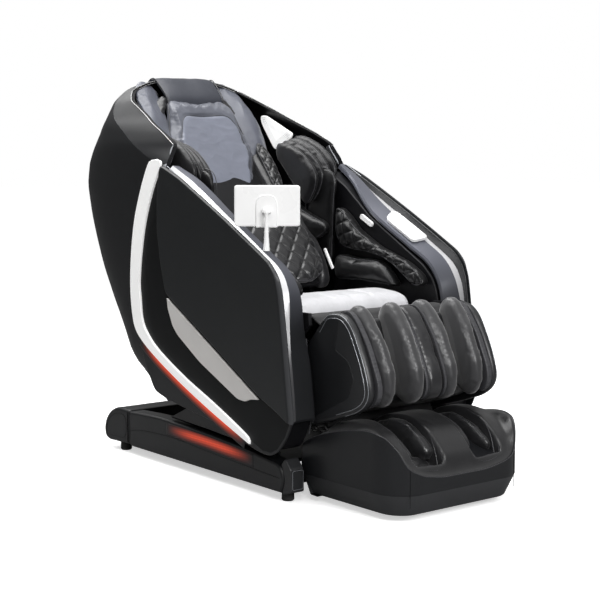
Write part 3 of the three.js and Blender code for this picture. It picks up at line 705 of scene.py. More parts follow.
# The head-area leathers (pillow, its border, the flap and the head sides) get a blue-grey that is partly a
# painted reflection of the overhead light on dark leather.
GREY_LEATHER_PAINTED_REFLECTION = leather("grey_leather", (0.165, 0.177, 0.220), 0.34, sheen=0.12, folds=0.0018)
FLAP_LEATHER = leather("flap_leather", (0.036, 0.039, 0.050), 0.40, sheen=0.0, coat=0.0, folds=0.0014,
                       shine=0.4)
HEAD_LEATHER = leather("head_leather", (0.078, 0.084, 0.108), 0.36, folds=0.002)
BORDER_LEATHER = leather("border_leather", (0.092, 0.098, 0.120), 0.38, folds=0.0018)
# The seat's pale grey is a painted highlight of the overhead light on black leather.
SEAT_LEATHER_PAINTED_HIGHLIGHT = leather("seat_leather_painted_highlight", (0.58, 0.58, 0.60), 0.36, sheen=0.2, streaks=True)
PAD_LEATHER = leather("pad_leather", (0.012, 0.012, 0.0135), 0.34, folds=0.0016)
# A darker, duller copy of the black leather for the shoulder layers: painted shade.
SHOULDER_LEATHER_PAINTED_SHADE = leather("shoulder_leather_painted_shade", (0.004, 0.004, 0.005), 0.36, folds=0.0012, coat=0.05,
                           shine=0.32)
PUNCHED = perforated("punched_leather", (0.05, 0.05, 0.055))
PIPING = leather("piping", (0.026, 0.026, 0.03), 0.35, grain=900)
# A paler copy of the black leather with more sheen for the calf fins: painted highlight.
FIN_LEATHER_PAINTED_HIGHLIGHT = leather("fin_leather_painted_highlight", (0.022, 0.022, 0.024), 0.38, sheen=0.35, folds=0.0008)
# Dark cloth for sheets that stand in for shade: painted shade.
SHADE_CLOTH = leather("painted_shade_cloth", (0.006, 0.006, 0.007), 0.7, grain=1400, coat=0.0)
STITCH = leather("stitching", (0.045, 0.047, 0.055), 0.5, grain=1600)
CASING = plastic("casing_charcoal", (0.017, 0.0175, 0.019), 0.38)
FOOT_SIDE = plastic("foot_casing", (0.0095, 0.010, 0.0115), 0.34, shine=0.38)
RUBBER = plastic("rubber", (0.02, 0.02, 0.02), 0.75, grain=300, depth=0.0003)
STEEL = metal("frame_steel", (0.03, 0.03, 0.033), 0.5)
MOTOR = plastic("motor_grey", (0.10, 0.105, 0.11), 0.5)
RAIL = glowing("rail_black", (0.011, 0.0113, 0.0125), 0.38, RED, 0.6, dots=True)
SKIRT = glowing("skirt_black", (0.011, 0.0113, 0.0125), 0.38, RED, 1.1)

# ---------- Shared outlines: (y, z) in millimetres, side view ----------


def mm(points):
    """Millimetres as an array in metres."""
    return np.array(points, float) / 1000


BACK_FOOT = np.array([-0.009, 0.711])
BACK_SLOPE = math.radians(47.4)


def on_back(along, behind):
    """A (y, z) point of the backrest: along its slope, and behind its front face."""
    c, s = math.cos(BACK_SLOPE), math.sin(BACK_SLOPE)
    return BACK_FOOT + [along * c + behind * s, along * s - behind * c]


TOP_OUTER = mm([[-548, 520], [-537, 600], [-524, 650], [-490, 700], [-411, 750], [-226, 850], [-37, 950],
                [66, 1001]])
TOP_INNER = mm([[-526, 520], [-515, 600], [-494, 650], [-446, 700], [-351, 750], [-172, 850], [-44, 950],
                [56, 1000]])
ARM_FRONT = mm([[-581, 264], [-575, 335], [-563, 430]])
TOP_INNER_X = [0.284, 0.284, 0.284, 0.284, 0.284, 0.284, 0.314, 0.336]
POD = mm([[-560, 262], [-540, 214], [-515, 174], [-470, 160], [-385, 168], [-235, 208], [-70, 226],
          [-14, 236], [-6, 290], [20, 340], [20, 560], [40, 800], [58, 984], [-40, 932], [-166, 834],
          [-347, 733], [-432, 686], [-478, 643], [-498, 596], [-510, 512], [-528, 500]])
PANEL_SIDE = mm([[-598, 262], [-588, 335], [-565, 508], [-544, 648], [-527, 692], [-489, 730], [-391, 783],
                 [-263, 850], [-130, 916], [-19, 969], [85, 1008], [97, 998], [111, 895], [112, 797],
                 [96, 700], [66, 594], [-438, 323], [-588, 261]])
SKIRT_SIDE = mm([[-590, 268], [-560, 212], [-521, 168], [-487, 150], [-447, 149], [-387, 160], [-235, 203],
                 [-70, 223], [81, 244], [150, 262], [205, 340], [262, 466], [277, 540], [281, 621],
                 [272, 723], [251, 824], [211, 925], [166, 1005], [146, 1020], [114, 1022], [80, 1002],
                 [-19, 964], [-130, 911], [-263, 845], [-391, 778], [-485, 726], [-520, 690], [-538, 645],
                 [-559, 508], [-582, 335]])
STRIP_OUTER = mm([[144, 1024], [168, 1007], [213, 925], [253, 824], [274, 723], [283, 621], [278, 537],
                  [261, 471], [224, 430], [139, 380], [-8, 312], [-176, 245], [-361, 179], [-387, 171]])
STRIP_INNER = mm([[114, 1027], [90, 1010], [140, 926], [184, 827], [211, 726], [226, 625], [221, 559],
                  [210, 492], [174, 446], [108, 400], [-37, 332], [-204, 268], [-362, 201], [-387, 181]])
BADGE_SIDE = mm([[62, 580], [-434, 313], [-388, 308], [-366, 298], [-326, 301], [-123, 391], [1, 464],
                 [29, 491], [57, 546]])

# ---------- Arms ----------

POD_X, TOP_X, SKIRT_X = 0.284, 0.3735, 0.381  # the pod's inner face, the top's outer edge, the skirt's face
body = Shape().slab(smooth_ring(POD, 0.012, 150), POD_X, TOP_X + 0.001, 0.006, steps=3)
hard_pair(body, "arm_body", [INNER], "seat", "satin_black", ["arm_shell"])

skirt = Shape().slab(smooth_ring(SKIRT_SIDE, 0.02, 220, 5), TOP_X, SKIRT_X, 0.003, steps=3)
# Painted shade: a thin near-black plate over the skirt inside the strip, where the proud panel and strip
# shade it.
RECESS_REST = mm([[-447, 160], [-487, 160], [-517, 176], [-553, 217], [-580, 270], [-560, 400], [100, 990]])
recess = np.vstack([spline(STRIP_INNER[1:], 6), RECESS_REST])
skirt.slab(recess, SKIRT_X - 0.001, SKIRT_X + 0.0005, 0.0005, kind=1, steps=1)
hard_pair(skirt, "arm_side", [SHELL, RECESS_BLACK_AND_SHADE], "seat", "satin_black", ["arm_skirt"])


def side_panel():
    """The raised panel: a wide chamfer down its front, a narrow one elsewhere."""
    flat = smooth_ring(PANEL_SIDE, 0.02, 180, 5)
    z = flat[:, 1]
    front = np.interp(z, PANEL_SIDE[:6, 1], PANEL_SIDE[:6, 0])
    near = 1 - smoothstep(flat[:, 0] - front, 0.003, 0.085)
    near *= 1 - smoothstep(z, 0.66, 0.72)
    rings = []
    for x, pull, ahead in ((0.3812, 0, 0), (0.3836, 0, 0), (0.3895, 0.001, 0.006), (0.3915, 0.0025, 0.009),
                           (0.3926, 0.0042, 0.011), (0.393, 0.007, 0.013)):
        ring = inset(flat, pull)
        ring[:, 0] += near * ahead
        rings.append(side_view(ring, x))
    return Shape().loft(rings)


panel = side_panel()
# The faces of the front chamfer, below the armrest, take the paler plastic: painted light where they face the
# front.
for i, face in enumerate(panel.faces):
    if len(face) == 4:
        points = np.array([panel.points[k] for k in face])
        normal = np.cross(points[2] - points[0], points[3] - points[1])
        normal /= max(np.linalg.norm(normal), 1e-9)
        if abs(normal[1]) > 0.35 and points[:, 1].mean() < -0.46 and points[:, 2].mean() < 0.72:
            panel.kinds[i] = 1
hard_pair(panel, "arm_panel_face", [PANEL, BAND], "seat", "satin_black", ["arm_panel"])

strip_ring = np.vstack([spline(STRIP_OUTER, 7), spline(STRIP_INNER, 7)[::-1]])
strip = Shape().slab(strip_ring, 0.3805, 0.389, 0.0022, steps=3)
hard_pair(strip, "light_cover", [STRIP], "seat", "white_plastic", ["light_strip"])
badge_ring = smooth_ring(BADGE_SIDE, [0.003, 0.004, 0.01, 0.01, 0.012, 0.02, 0.012, 0.006, 0.006], 160, 5)
badge = Shape().slab(badge_ring, 0.3812, 0.388, 0.0018, steps=3)
hard_pair(badge, "arm_badge", [BADGE], "seat", "silver_trim", ["badge"])


GLOW_COUNT = 60


def glow_band(path, normal, width, fade, name, material, body, fade_ends=0.2):
    """A thin lit skin beside a line: brightest at the line, fading with distance and at both ends."""
    line = resample(path, GLOW_COUNT)
    rows, glow = [], []
    for i, point in enumerate(line):
        t = i / (len(line) - 1)
        end = smoothstep(min(t, 1 - t), 0, fade_ends)
        rows.append([point + normal[i] * width * s for s in np.linspace(0, 1, 9)])
        glow.append([end * fade(s) for s in np.linspace(0, 1, 9)])
    shape = Shape().sheet(rows, 0.0006)
    glow = np.array(glow)
    glow = np.concatenate([glow, glow[:, ::-1]], axis=1)
    for side, drawn in (("left", shape), ("right", shape.mirrored())):
        obj = to_object(drawn, f"{name}_{side}", [material])
        obj.data.attributes.new("glow", "FLOAT", "POINT").data.foreach_set("value", glow.ravel())
        obj.data.shade_smooth()
        place(obj, body, "satin_black")


low = resample(spline(STRIP_OUTER[8:13], 8), GLOW_COUNT)
step = np.gradient(low, axis=0)
step /= np.linalg.norm(step, axis=1, keepdims=True)
down = np.column_stack([np.zeros(GLOW_COUNT), step[:, 1], -step[:, 0]])
glow_band(side_view(low, 0.3814), -down, 0.030, lambda s: (1 - s) ** 1.6, "strip_glow", SKIRT, "seat")


FACET_POINTS = 6


def arm_top():
    """The armrest's top: an outward-sloping facet, a crowned plate and a front that bends down."""
    count = 90
    outer = resample(spline(np.vstack([ARM_FRONT, TOP_OUTER]), 8), count)
    inner_line = np.vstack([ARM_FRONT + [[0.004, 0], [0.006, 0], [0.010, 0]], TOP_INNER])
    inner_x = [POD_X] * len(ARM_FRONT) + TOP_INNER_X
    inner = resample(spline(np.column_stack([inner_x, inner_line]), 8), count)
    rings = []
    for k, (o, i) in enumerate(zip(side_view(outer, TOP_X), inner)):
        down = k / (count - 1)
        across = i - o
        out = np.cross(across, [0, 1, 0.55])
        out *= np.sign(out[2] - out[1]) / max(np.linalg.norm(out), 1e-9)
        facet = 0.12 + 0.26 * smoothstep(down, 0.16, 0.42)
        drop = 0.005 + 0.015 * smoothstep(down, 0.10, 0.38)
        top = []
        for t in np.concatenate([np.linspace(0, facet, FACET_POINTS), np.linspace(facet, 1, 12)[1:]]):
            rise = 0.0045 - drop * (1 - min(1, t / facet)) + 0.002 * math.sin(math.pi * t)
            rise -= 0.006 * smoothstep(t, 0.94, 1.0)
            top.append(o + across * t + out * rise)
        under = [p - out * 0.0075 for p in top[::-1]]
        rings.append(top + under)
    shape = Shape().loft(rings)
    around = len(rings[0])
    # The outer facet's faces take the painted highlight.
    for k, face in enumerate(shape.faces):
        if len(face) == 4 and max(i % around for i in face) < FACET_POINTS:
            shape.kinds[k] = 1
    return shape


hard_pair(arm_top(), "arm_rest", [ARM_TOP, ARM_FACET_PAINTED_HIGHLIGHT], "seat", "arm_satin", ["arm_top"], angle=24)
# A pale cord along the armrest's outer top edge: a painted highlight line.
highlight_line = spline(TOP_OUTER[2:], 8) + [-0.001, 0.0025]
highlight_cord = Shape().tube(side_view(highlight_line, 0.3775), 0.0014)
hard_pair(highlight_cord, "arm_edge", [EDGE], "seat", "arm_satin", angle=60)

zipper = Shape()
for offset in (0.2815, 0.2835):
    zipper.tube(side_view(resample(mm([[-532, 500], [-556, 262], [-545, 214]]), 40), offset), 0.0012)
for t in resample(mm([[-533, 490], [-555, 268]]), 60):
    zipper.slab([[0.2812, t[0] - 0.0022], [0.2838, t[0] - 0.0022], [0.2838, t[0]], [0.2812, t[0]]],
                t[1] - 0.001, t[1] + 0.001, 0.0003, steps=1, axis=2)
zipper.slab(rounded([[0.2795, -0.5625], [0.2835, -0.5625], [0.2835, -0.5560], [0.2795, -0.5560]], 0.001, 2),
            0.250, 0.268, 0.0008, steps=2, axis=2)
hard_pair(zipper, "arm_zipper", [PIPING], "seat", "satin_black")

# ---------- Controls and tablet ----------

PLATE_ROLL, PLATE_PITCH = math.radians(-19), math.radians(27)
PLATE_AT = [0.323, -0.303, 0.793]


def on_armrest(points):
    """Local (x, y, z) of the control plate, moved onto the sloped armrest."""
    p = np.asarray(points, float)
    a, b = PLATE_ROLL, PLATE_PITCH
    ry = np.array([[math.cos(a), 0, math.sin(a)], [0, 1, 0], [-math.sin(a), 0, math.cos(a)]])
    rx = np.array([[1, 0, 0], [0, math.cos(b), -math.sin(b)], [0, math.sin(b), math.cos(b)]])
    return p @ ry.T @ rx.T + PLATE_AT


def outline_at(outline, level):
    """A closed line of (x, y) points at one height."""
    return np.column_stack([outline, np.full(len(outline), level)])


plate_line = mm([[-29, -80], [27, -92], [27, 80], [14, 92], [-29, 72]])
PLATE_Z, KEY_Z, DIAL_Y = 0.0158, 0.0168, -0.004
plate_ring = rounded(plate_line, [0.014, 0.016, 0.014, 0.012, 0.02], 6)
plate = Shape().slab(plate_ring, 0.004, PLATE_Z, 0.0022, steps=4, axis=2)
plate.loop(outline_at(inset(rounded(plate_line, 0.016, 6), 0.005), PLATE_Z), 0.0005)
circle = np.array([[math.cos(a), math.sin(a)] for a in turns(40)])
plate.loop(outline_at(circle * 0.0185 + [0, DIAL_Y], PLATE_Z + 0.0001), 0.0007)
for marks in mm([[-17, -30], [17, -32], [-17, 24], [17, 22], [0, 82], [-4, -82]]):
    plate.loop(outline_at(circle[::4] * 0.0035 + marks, PLATE_Z + 0.0001), 0.0004)
hard(plate.moved(on_armrest), "control_plate", [WHITE, WHITE_LINE], "seat", "white_plastic",
     ["control_panel"])
dial = Shape()
profile = mm([[14.6, 15.0], [15.2, 16.6], [14.6, 17.6], [11.8, 18.0], [10.5, 17.3], [2, 17.0]])
dial.loft([outline_at(circle * r + [0, DIAL_Y], z) for r, z in profile])
pointer = rounded(mm([[-0.8, 3.5], [0.8, 3.5], [0.8, 6.5], [-0.8, 6.5]]), 0.0006, 3)
dial.slab(pointer, 0.0176, 0.0183, 0.0002, 1, 1, axis=2)
hard(dial.moved(on_armrest), "control_dial_cap", [WHITE, WHITE_LINE], "dial", "silver_trim",
     ["control_dial"])
for name, y in (("key_rear", 0.045), ("key_front", -0.045)):
    square = mm([[-14.5, -15.5], [14.5, -15.5], [14.5, 15.5], [-14.5, 15.5]]) + [0, y]
    key = Shape().slab(rounded(square, 0.005, 5), 0.014, KEY_Z, 0.001, steps=3, axis=2)
    for marks in mm([[-6.5, -7], [6.5, -7], [-6.5, 7], [6.5, 7]]):
        key.loop(outline_at(circle[::4] * 0.0026 + marks + [0, y], KEY_Z + 0.0001), 0.0004)
    hard(key.moved(on_armrest), f"{name}_cap", [WHITE, WHITE_LINE], name, "white_plastic",
         [f"control_{name}"])

ARM_SLOPE = math.radians(27)
lean = np.array([[math.cos(ARM_SLOPE), -math.sin(ARM_SLOPE)], [math.sin(ARM_SLOPE), math.cos(ARM_SLOPE)]])
oblong = rounded(mm([[-34, -9], [34, -9], [34, 9], [-34, 9]]), 0.0088, 7)
SIDE_KEY_AT, SIDE_KEY_X = [-0.160, 0.818], 0.2742
side_key = Shape().slab(oblong @ lean.T + SIDE_KEY_AT, SIDE_KEY_X, 0.2830, 0.0016, steps=3)
side_key.loop(side_view(inset(oblong, 0.003) @ lean.T + SIDE_KEY_AT, SIDE_KEY_X), 0.0004)
hard(side_key, "quick_key_cap", [WHITE, WHITE_LINE], "quick_key", "white_plastic", ["quick_key"])

POST = np.array([-0.3285, -0.398])
BALL_Z = 0.874
TABLET_HEADING = math.radians(-38.5)


def on_tablet(points):
    """Local (x across, y away from the ball's front, z up) turned to the tablet's heading."""
    p = np.asarray(points, float)
    c, s = math.cos(TABLET_HEADING), math.sin(TABLET_HEADING)
    flat = p[:, :2] @ np.array([[c, s], [-s, c]])
    return np.column_stack([flat + POST, p[:, 2] + BALL_Z])


screen = rounded(mm([[-97.5, -46], [101, -46], [101, 78], [-97.5, 78]]), 0.010, 6)
slab = Shape().slab(screen, 0.0195, 0.035, 0.004, steps=5, axis=1)
slab.slab(inset(screen, 0.007), 0.0345, 0.0356, 0.0005, kind=2, steps=2, axis=1)
arch = rounded(mm([[-33, -49], [33, -49], [33, 50], [-33, 50]]), [0.004, 0.004, 0.033, 0.033], 10)
slab.slab(arch, 0.0165, 0.022, 0.0022, steps=4, axis=1)
slab.loop(np.insert(inset(arch, 0.0035), 1, 0.0166, axis=1), 0.0003)
rings = []
for level in (0.0, 0.2, 0.4, 0.6, 0.8, 0.92, 0.99):
    wide = 0.0155 * math.sqrt(1 - level**2)
    rings.append(np.column_stack([circle[:, 0] * wide, 0.0165 + np.minimum(circle[:, 1], 0) * wide,
                                  np.full(40, -0.004 + 0.0175 * level)]))
slab.loft(rings)
hard(slab.moved(on_tablet), "tablet_shell", [WHITE, WHITE_LINE, RECESS_BLACK_AND_SHADE], "tablet", "white_plastic",
     ["tablet"])
post = Shape()
profile = mm([[9.8, 756], [9.8, 764], [9.0, 768], [7.0, 800], [5.2, 845], [4.4, 860], [6.0, 866],
              [7.2, 871], [6.0, 878], [2, 881]])
post.loft([outline_at(circle * r + POST, z) for r, z in profile])
hard(post, "tablet_post", [WHITE], "tablet_arm", "white_plastic", ["tablet_arm"], angle=50)

# ---------- Back shell ----------

REAR = table(mm([[228, 160], [254, 212], [302, 300], [366, 370], [456, 452], [556, 550], [658, 636],
                 [770, 706], [876, 758], [950, 781], [1000, 778], [1030, 762], [1072, 730], [1110, 692],
                 [1140, 664], [1170, 634], [1200, 610], [1222, 596], [1250, 582], [1266, 575], [1290, 566],
                 [1306, 558]]))
FRONT = table(mm([[228, 112], [300, 112], [352, 206], [400, 236], [500, 240], [620, 236], [800, 208],
                  [920, 150], [985, 90], [1003, 77], [1072, 90], [1110, 164], [1140, 238], [1170, 306],
                  [1200, 376], [1222, 429], [1266, 500], [1290, 518], [1306, 528]]))
HALF = table(mm([[228, 346], [300, 366], [400, 374], [1000, 374], [1040, 373], [1072, 371], [1110, 362],
                 [1140, 352], [1170, 338], [1200, 319], [1222, 300], [1250, 262], [1266, 236], [1290, 168],
                 [1306, 80]]))
EDGE_X = table(mm([[228, 346], [300, 366], [400, 374], [1000, 374], [1072, 338], [1110, 330], [1140, 320],
                   [1170, 305], [1200, 293], [1222, 283], [1250, 252], [1266, 226], [1290, 158],
                   [1306, 72]]))
BEVEL_REAR = table(mm([[1004, 80], [1010, 118], [1137, 403], [1165, 458], [1200, 496], [1235, 519],
                       [1262, 538], [1290, 546], [1306, 544]]))
CORNER = 0.5  # how square the shell's shoulders are: 1 is round, 0 square
BEVEL_COLUMNS = 5
BEVEL_FROM_Z = 1.003
WALL = 0.022


def section(z, wall=0.0):
    """One level of the shell, from its left front edge round the rear to its right one.

    A wall thickness gives the inner skin."""
    half, front, rear = HALF(z) - wall, FRONT(z), REAR(z) - wall
    edge = min(EDGE_X(z), HALF(z)) - wall * 0.7
    deep = max(rear - front, 0.006)
    turn_back = np.clip((BEVEL_REAR(z) - front) / deep if z > BEVEL_FROM_Z else 0.02, 0.02, 0.8)
    first = math.asin(turn_back ** (1 / CORNER))
    quarter = []
    for a in np.linspace(first, math.pi / 2, 19):
        x = max(half, 0.01) * power(math.cos(a), CORNER)
        quarter.append([x, front + deep * power(math.sin(a), CORNER)])
    quarter[-1][0] = 0.0
    start = np.array([max(edge, 0.01), front])
    bevel = [start + (np.array(quarter[0]) - start) * t for t in np.linspace(0, 1, BEVEL_COLUMNS + 1)[:-1]]
    left = np.array(bevel + quarter)
    return np.vstack([left, (left * [-1, 1])[-2::-1]])


# The shell's levels lie closer together where the wings and the crown curve.
levels = np.concatenate([np.linspace(0.228, 0.99, 34), np.linspace(1.0, 1.22, 38),
                         np.linspace(1.225, 1.306, 16)])
rings = []
for z in levels:
    both = np.vstack([section(z), section(z, WALL)[::-1]])
    rings.append(np.column_stack([both, np.full(len(both), z)]))
shell = Shape().loft(rings)
columns = len(rings[0])
skin = columns // 2
# The bevel columns above BEVEL_FROM_Z take the wing band plastic: painted light on the sloped band.
for i, face in enumerate(shell.faces):
    if len(face) == 4:
        row = min(face) // columns
        across = sorted(k % columns for k in face)
        column = across[0] if across[-1] - across[0] == 1 else skin
        bevel = column < BEVEL_COLUMNS or skin - 1 - BEVEL_COLUMNS <= column < skin - 1
        shell.kinds[i] = 1 if column >= skin - 1 else 2 if bevel and levels[row] > BEVEL_FROM_Z else 0
hard(shell, "back_casing", [SHELL, INNER, WING], "back", "satin_black", ["back_shell"], angle=32,
     borders=True)

WING_EDGE = [[0.338, 0.09, 1.072], [0.33, 0.164, 1.11], [0.32, 0.238, 1.14], [0.305, 0.306, 1.17],
             [0.293, 0.376, 1.2], [0.283, 0.429, 1.222], [0.252, 0.478, 1.250], [0.226, 0.500, 1.266],
             [0.158, 0.518, 1.290], [0.072, 0.528, 1.306], [0, 0.530, 1.309]]
# The wing's front tip is a small facet in the pale edge satin: a painted highlight.
tip = [[0.3770, 0.0755, 1.003], [0.3385, 0.0885, 1.071], [0.3420, 0.106, 1.064], [0.3765, 0.094, 1.003]]
inner_tip = [[p[0] - 0.02, p[1] + 0.006, p[2]] for p in tip]
hard_pair(Shape().loft([tip, inner_tip]), "wing_front", [EDGE], "back", "satin_black")

trims = Shape()
line = resample(spline(WING_EDGE, 8), 90)
trims.tube(both_sides(line) + [0, -0.001, 0.0015], 0.0017, sides=6)
trims.tube(both_sides(line + [-0.008, -0.001, -0.003]), 0.0012, sides=6)
hard(trims, "wing_trim", [TRIM], "back", "satin_black", angle=70)

SPEAKER = mm([[440, 1179], [412, 1182], [252, 1114], [260, 1098], [353, 1052], [434, 1151]])
outline = rounded(SPEAKER, [0.010, 0.014, 0.010, 0.010, 0.022, 0.03], 6)
SPEAKER_X = 0.2785
speaker = Shape().slab(outline, SPEAKER_X, 0.288, 0.003, steps=4)
speaker.slab(inset(outline, 0.008), 0.287, 0.304, 0.002, 2, 2)
for depth in (0.006, 0.014, 0.020, 0.026):
    speaker.loop(side_view(resample(inset(outline, depth), 60, True), SPEAKER_X), 0.0007)
hard_pair(speaker, "speaker_cover", [SPEAKER_WHITE_PAINTED_LIGHT, WHITE_LINE, INNER], "back", "white_plastic", ["speaker"])

# ---------- Backrest padding ----------


def place_pair(obj, name, body, slot="black_leather", nodes=()):
    """Places a finished cushion and its mirror image."""
    obj.name = f"{name}_left"
    other = mirror_object(obj, f"{name}_right")
    for piece, side in ((obj, "left"), (other, "right")):
        place(piece, body, slot, [f"{node}_{side}" for node in nodes])


def upright(name, ring, span, rim, materials, cap, voxel, steps=3, move=None):
    """A filled cushion whose side outline reaches across from span[0] to span[1]."""
    shape = Shape().slab(ring, *span, rim, steps=steps)
    if move is not None:
        shape.moved(move)
    return inflate(to_object(shape, name, materials), cap, voxel)


def cord_pair(cords, name, body, slot="black_leather"):
    """Piping and its mirror image."""
    hard_pair(cords, name, [PIPING], body, slot, angle=CORD_ANGLE)


def paint(obj, kind, test):
    """Gives the faces whose centres pass the test another material."""
    flags = np.empty(len(obj.data.polygons), np.int32)
    obj.data.polygons.foreach_get("material_index", flags)
    centers = np.empty(len(flags) * 3)
    obj.data.polygons.foreach_get("center", centers)
    flags[test(centers.reshape(-1, 3) - [0, SHIFT, 0])] = kind
    obj.data.polygons.foreach_set("material_index", flags)


def inside(outline, a, b):
    """Which (a, b) points lie inside a closed outline."""
    hit = np.zeros(len(a), bool)
    previous = outline[-1]
    for point in outline:
        crosses = (point[1] > b) != (previous[1] > b)
        with np.errstate(divide="ignore", invalid="ignore"):
            at = (previous[0] - point[0]) * (b - point[1]) / (previous[1] - point[1]) + point[0]
        hit ^= crosses & (a < at)
        previous = point
    return hit


CORE = np.vstack([mm([[474, 1254], [436, 1198], [376, 1109], [304, 1033], [205, 935], [102, 846], [-9, 711],
                      [-50, 622], [-40, 584], [-4, 574], [40, 610]]),
                  [on_back(0.06, 0.118)], [on_back(0.69, 0.118)], mm([[508, 1228]])])


def narrower(points):
    """The core closes in under the head."""
    keep = 1 - 0.42 * smoothstep(points[:, 2], 1.12, 1.26)
    return points * np.column_stack([keep, np.ones((len(points), 2))])


obj = upright("back_bolster", smooth_ring(CORE, 0.03, 130), (0.17, 0.222), 0.02, [PAD_LEATHER], 0.010, 0.009,
              steps=5, move=narrower)
wrinkle(obj, 0.0012, (9, 14, 14), 3.1)
place_pair(obj, "back_bolster", "back")
middle = np.vstack([[on_back(-0.10, 0.045), on_back(0.62, 0.060), on_back(0.64, 0.112), on_back(0.0, 0.112)],
                    mm([[-4, 580], [-46, 600]])])
deck = Shape().slab(smooth_ring(middle, 0.02, 90), -0.176, 0.176, 0.008, steps=3)
hard(deck, "back_deck", [INNER], "back", "black_leather", ["back_pad"])


def leaned(points):
    """(x, depth, distance along the slope) points laid on the backrest."""
    return np.column_stack([points[:, 0], [on_back(along, depth) for depth, along in points[:, 1:]]])


def behind(front):
    """A move that pushes points back by the value of front at their height."""
    return lambda p: p + np.column_stack([0 * p[:, 0], front(p[:, 2]), 0 * p[:, 0]])


UP = np.array([0, math.cos(BACK_SLOPE), math.sin(BACK_SLOPE)])
ACROSS = np.array([1.0, 0, 0])
KITE = [[-0.120, -0.125], [0.120, -0.125], [0.180, -0.085], [0.200, -0.04], [0.206, 0.06], [0.198, 0.125],
        [0.145, 0.150], [-0.145, 0.150], [-0.198, 0.125], [-0.206, 0.06], [-0.200, -0.04], [-0.180, -0.085]]
cover = Shape().slab(smooth_ring(KITE, 0.03, 110), 0.0, 0.030, 0.006, steps=3, axis=1).moved(leaned)
obj = inflate(to_object(cover, "lumbar_cover", [QUILT_LEATHER]), 0.010, 0.007)
quilt(obj, [0, *on_back(0, 0)], ACROSS, UP, (0.066, 0.078), 0.0034)
wrinkle(obj, 0.001, (20, 20, 20), 1.4)
place(obj, "back", "black_leather")
ring = smooth_ring(KITE, 0.03, 150)
ring = np.array([[x, *on_back(a, 0.006)] for x, a in ring])
cord = Shape().tube(drape(obj, ring, 0.0005), 0.0024, sides=6, closed=True)
hard(cord, "lumbar_piping", [PIPING], "back", "black_leather", angle=CORD_ANGLE)

PILLOW_FRONT = table([[0.84, 0.262], [0.86, 0.262], [0.908, 0.268], [1.0, 0.300], [1.08, 0.336],
                      [1.14, 0.372], [1.196, 0.404], [1.226, 0.436]])
HEX = [[-0.124, 0.854], [0.124, 0.854], [0.150, 0.93], [0.178, 1.03], [0.177, 1.09], [0.131, 1.232],
       [-0.131, 1.232], [-0.177, 1.09], [-0.178, 1.03], [-0.150, 0.93]]
HEX_IN = [[-0.104, 0.835], [0.104, 0.835], [0.118, 0.940], [0.140, 1.03], [0.137, 1.082], [0.098, 1.176],
          [-0.098, 1.176], [-0.137, 1.082], [-0.140, 1.03], [-0.118, 0.940]]
flat = Shape().slab(smooth_ring(HEX, 0.028, 120), 0.006, 0.062, 0.018, steps=5, axis=1)
obj = to_object(flat.moved(behind(PILLOW_FRONT)), "pillow", [BORDER_LEATHER, GREY_LEATHER_PAINTED_REFLECTION])
inflate(obj, 0.014, 0.007)
seam = smooth_ring(HEX_IN, 0.026, 150)
seam3 = np.column_stack([seam[:, 0], PILLOW_FRONT(seam[:, 1]) + 0.004, seam[:, 1]])
crease(obj, np.vstack([seam3, seam3[:1]]), 0.0055, 0.0065)
wrinkle(obj, 0.0008, (16, 16, 30), 5.0)
paint(obj, 1, lambda c: inside(seam, c[:, 0], c[:, 2]) & (c[:, 1] < PILLOW_FRONT(c[:, 2]) + 0.03))
place(obj, "back", "grey_leather", ["head_pillow"])
stitches = Shape().tube(drape(obj, seam3, 0.0010), 0.0013, sides=5, closed=True)
edge = smooth_ring(HEX, 0.028, 150)
edge3 = np.column_stack([edge[:, 0], PILLOW_FRONT(edge[:, 1]) + 0.022, edge[:, 1]])
stitches.loop(drape(obj, edge3, 0.0014), 0.0020, 1, 6)
hard(stitches, "pillow_piping", [STITCH, PIPING], "back", "grey_leather", angle=CORD_ANGLE)

# The flap that hangs over the crown down to the pillow.
FLAP = mm([[578, 1262], [571, 1290], [552, 1304], [530, 1304], [504, 1284], [474, 1256], [456, 1232],
           [450, 1205]])
FLAP_COUNT = 30
path = resample(spline(FLAP, 8), FLAP_COUNT)
narrowing = np.linspace(0, 0.010, FLAP_COUNT)
rows = []
for i, (y, z) in enumerate(path):
    half = 0.129 - narrowing[i]
    row = []
    for x in np.linspace(-half, half, 34):
        swell = 1 - (x / half) ** 4
        row.append([x, y - 0.010 * swell * min(1, i / 6), z + 0.006 * swell])
    rows.append(row)
obj = to_object(Shape().sheet(rows, 0.008), "head_flap", [FLAP_LEATHER])
fine = obj.modifiers.new("fine", "SUBSURF")
fine.levels = 1
bake(obj)
wrinkle(obj, 0.0026, (7, 3, 3), 8.0)
obj.data.shade_smooth()
place(obj, "back", "grey_leather")
cords = Shape()
for side in (-1, 1):
    cords.tube(side_view(path + [-0.003, 0.003], side * (0.1285 - narrowing)), 0.0021)
hard(cords, "head_flap_piping", [PIPING], "back", "grey_leather", angle=CORD_ANGLE)


def bolster(points, name, material, cap):
    """A long cushion through rows of (x, y, z, half width, half depth, tilt)."""
    count = 26
    rows = resample(spline(points, 6), count)
    rings = []
    for i, (x, y, z, wide, deep, tilt) in enumerate(rows):
        ahead = rows[min(i + 1, count - 1), :3] - rows[max(i - 1, 0), :3]
        ahead /= np.linalg.norm(ahead)
        across = np.array([math.cos(tilt), -math.sin(tilt), 0])
        across -= ahead * (across @ ahead)
        across /= np.linalg.norm(across)
        out = np.cross(ahead, across)
        ring = []
        for a in turns(28):
            ring.append(np.array([x, y, z]) + across * wide * power(math.cos(a), 0.7)
                        + out * deep * power(math.sin(a), 0.8))
        rings.append(ring)
    obj = to_object(Shape().loft(rings), name, [material])
    return inflate(obj, cap, 0.008)


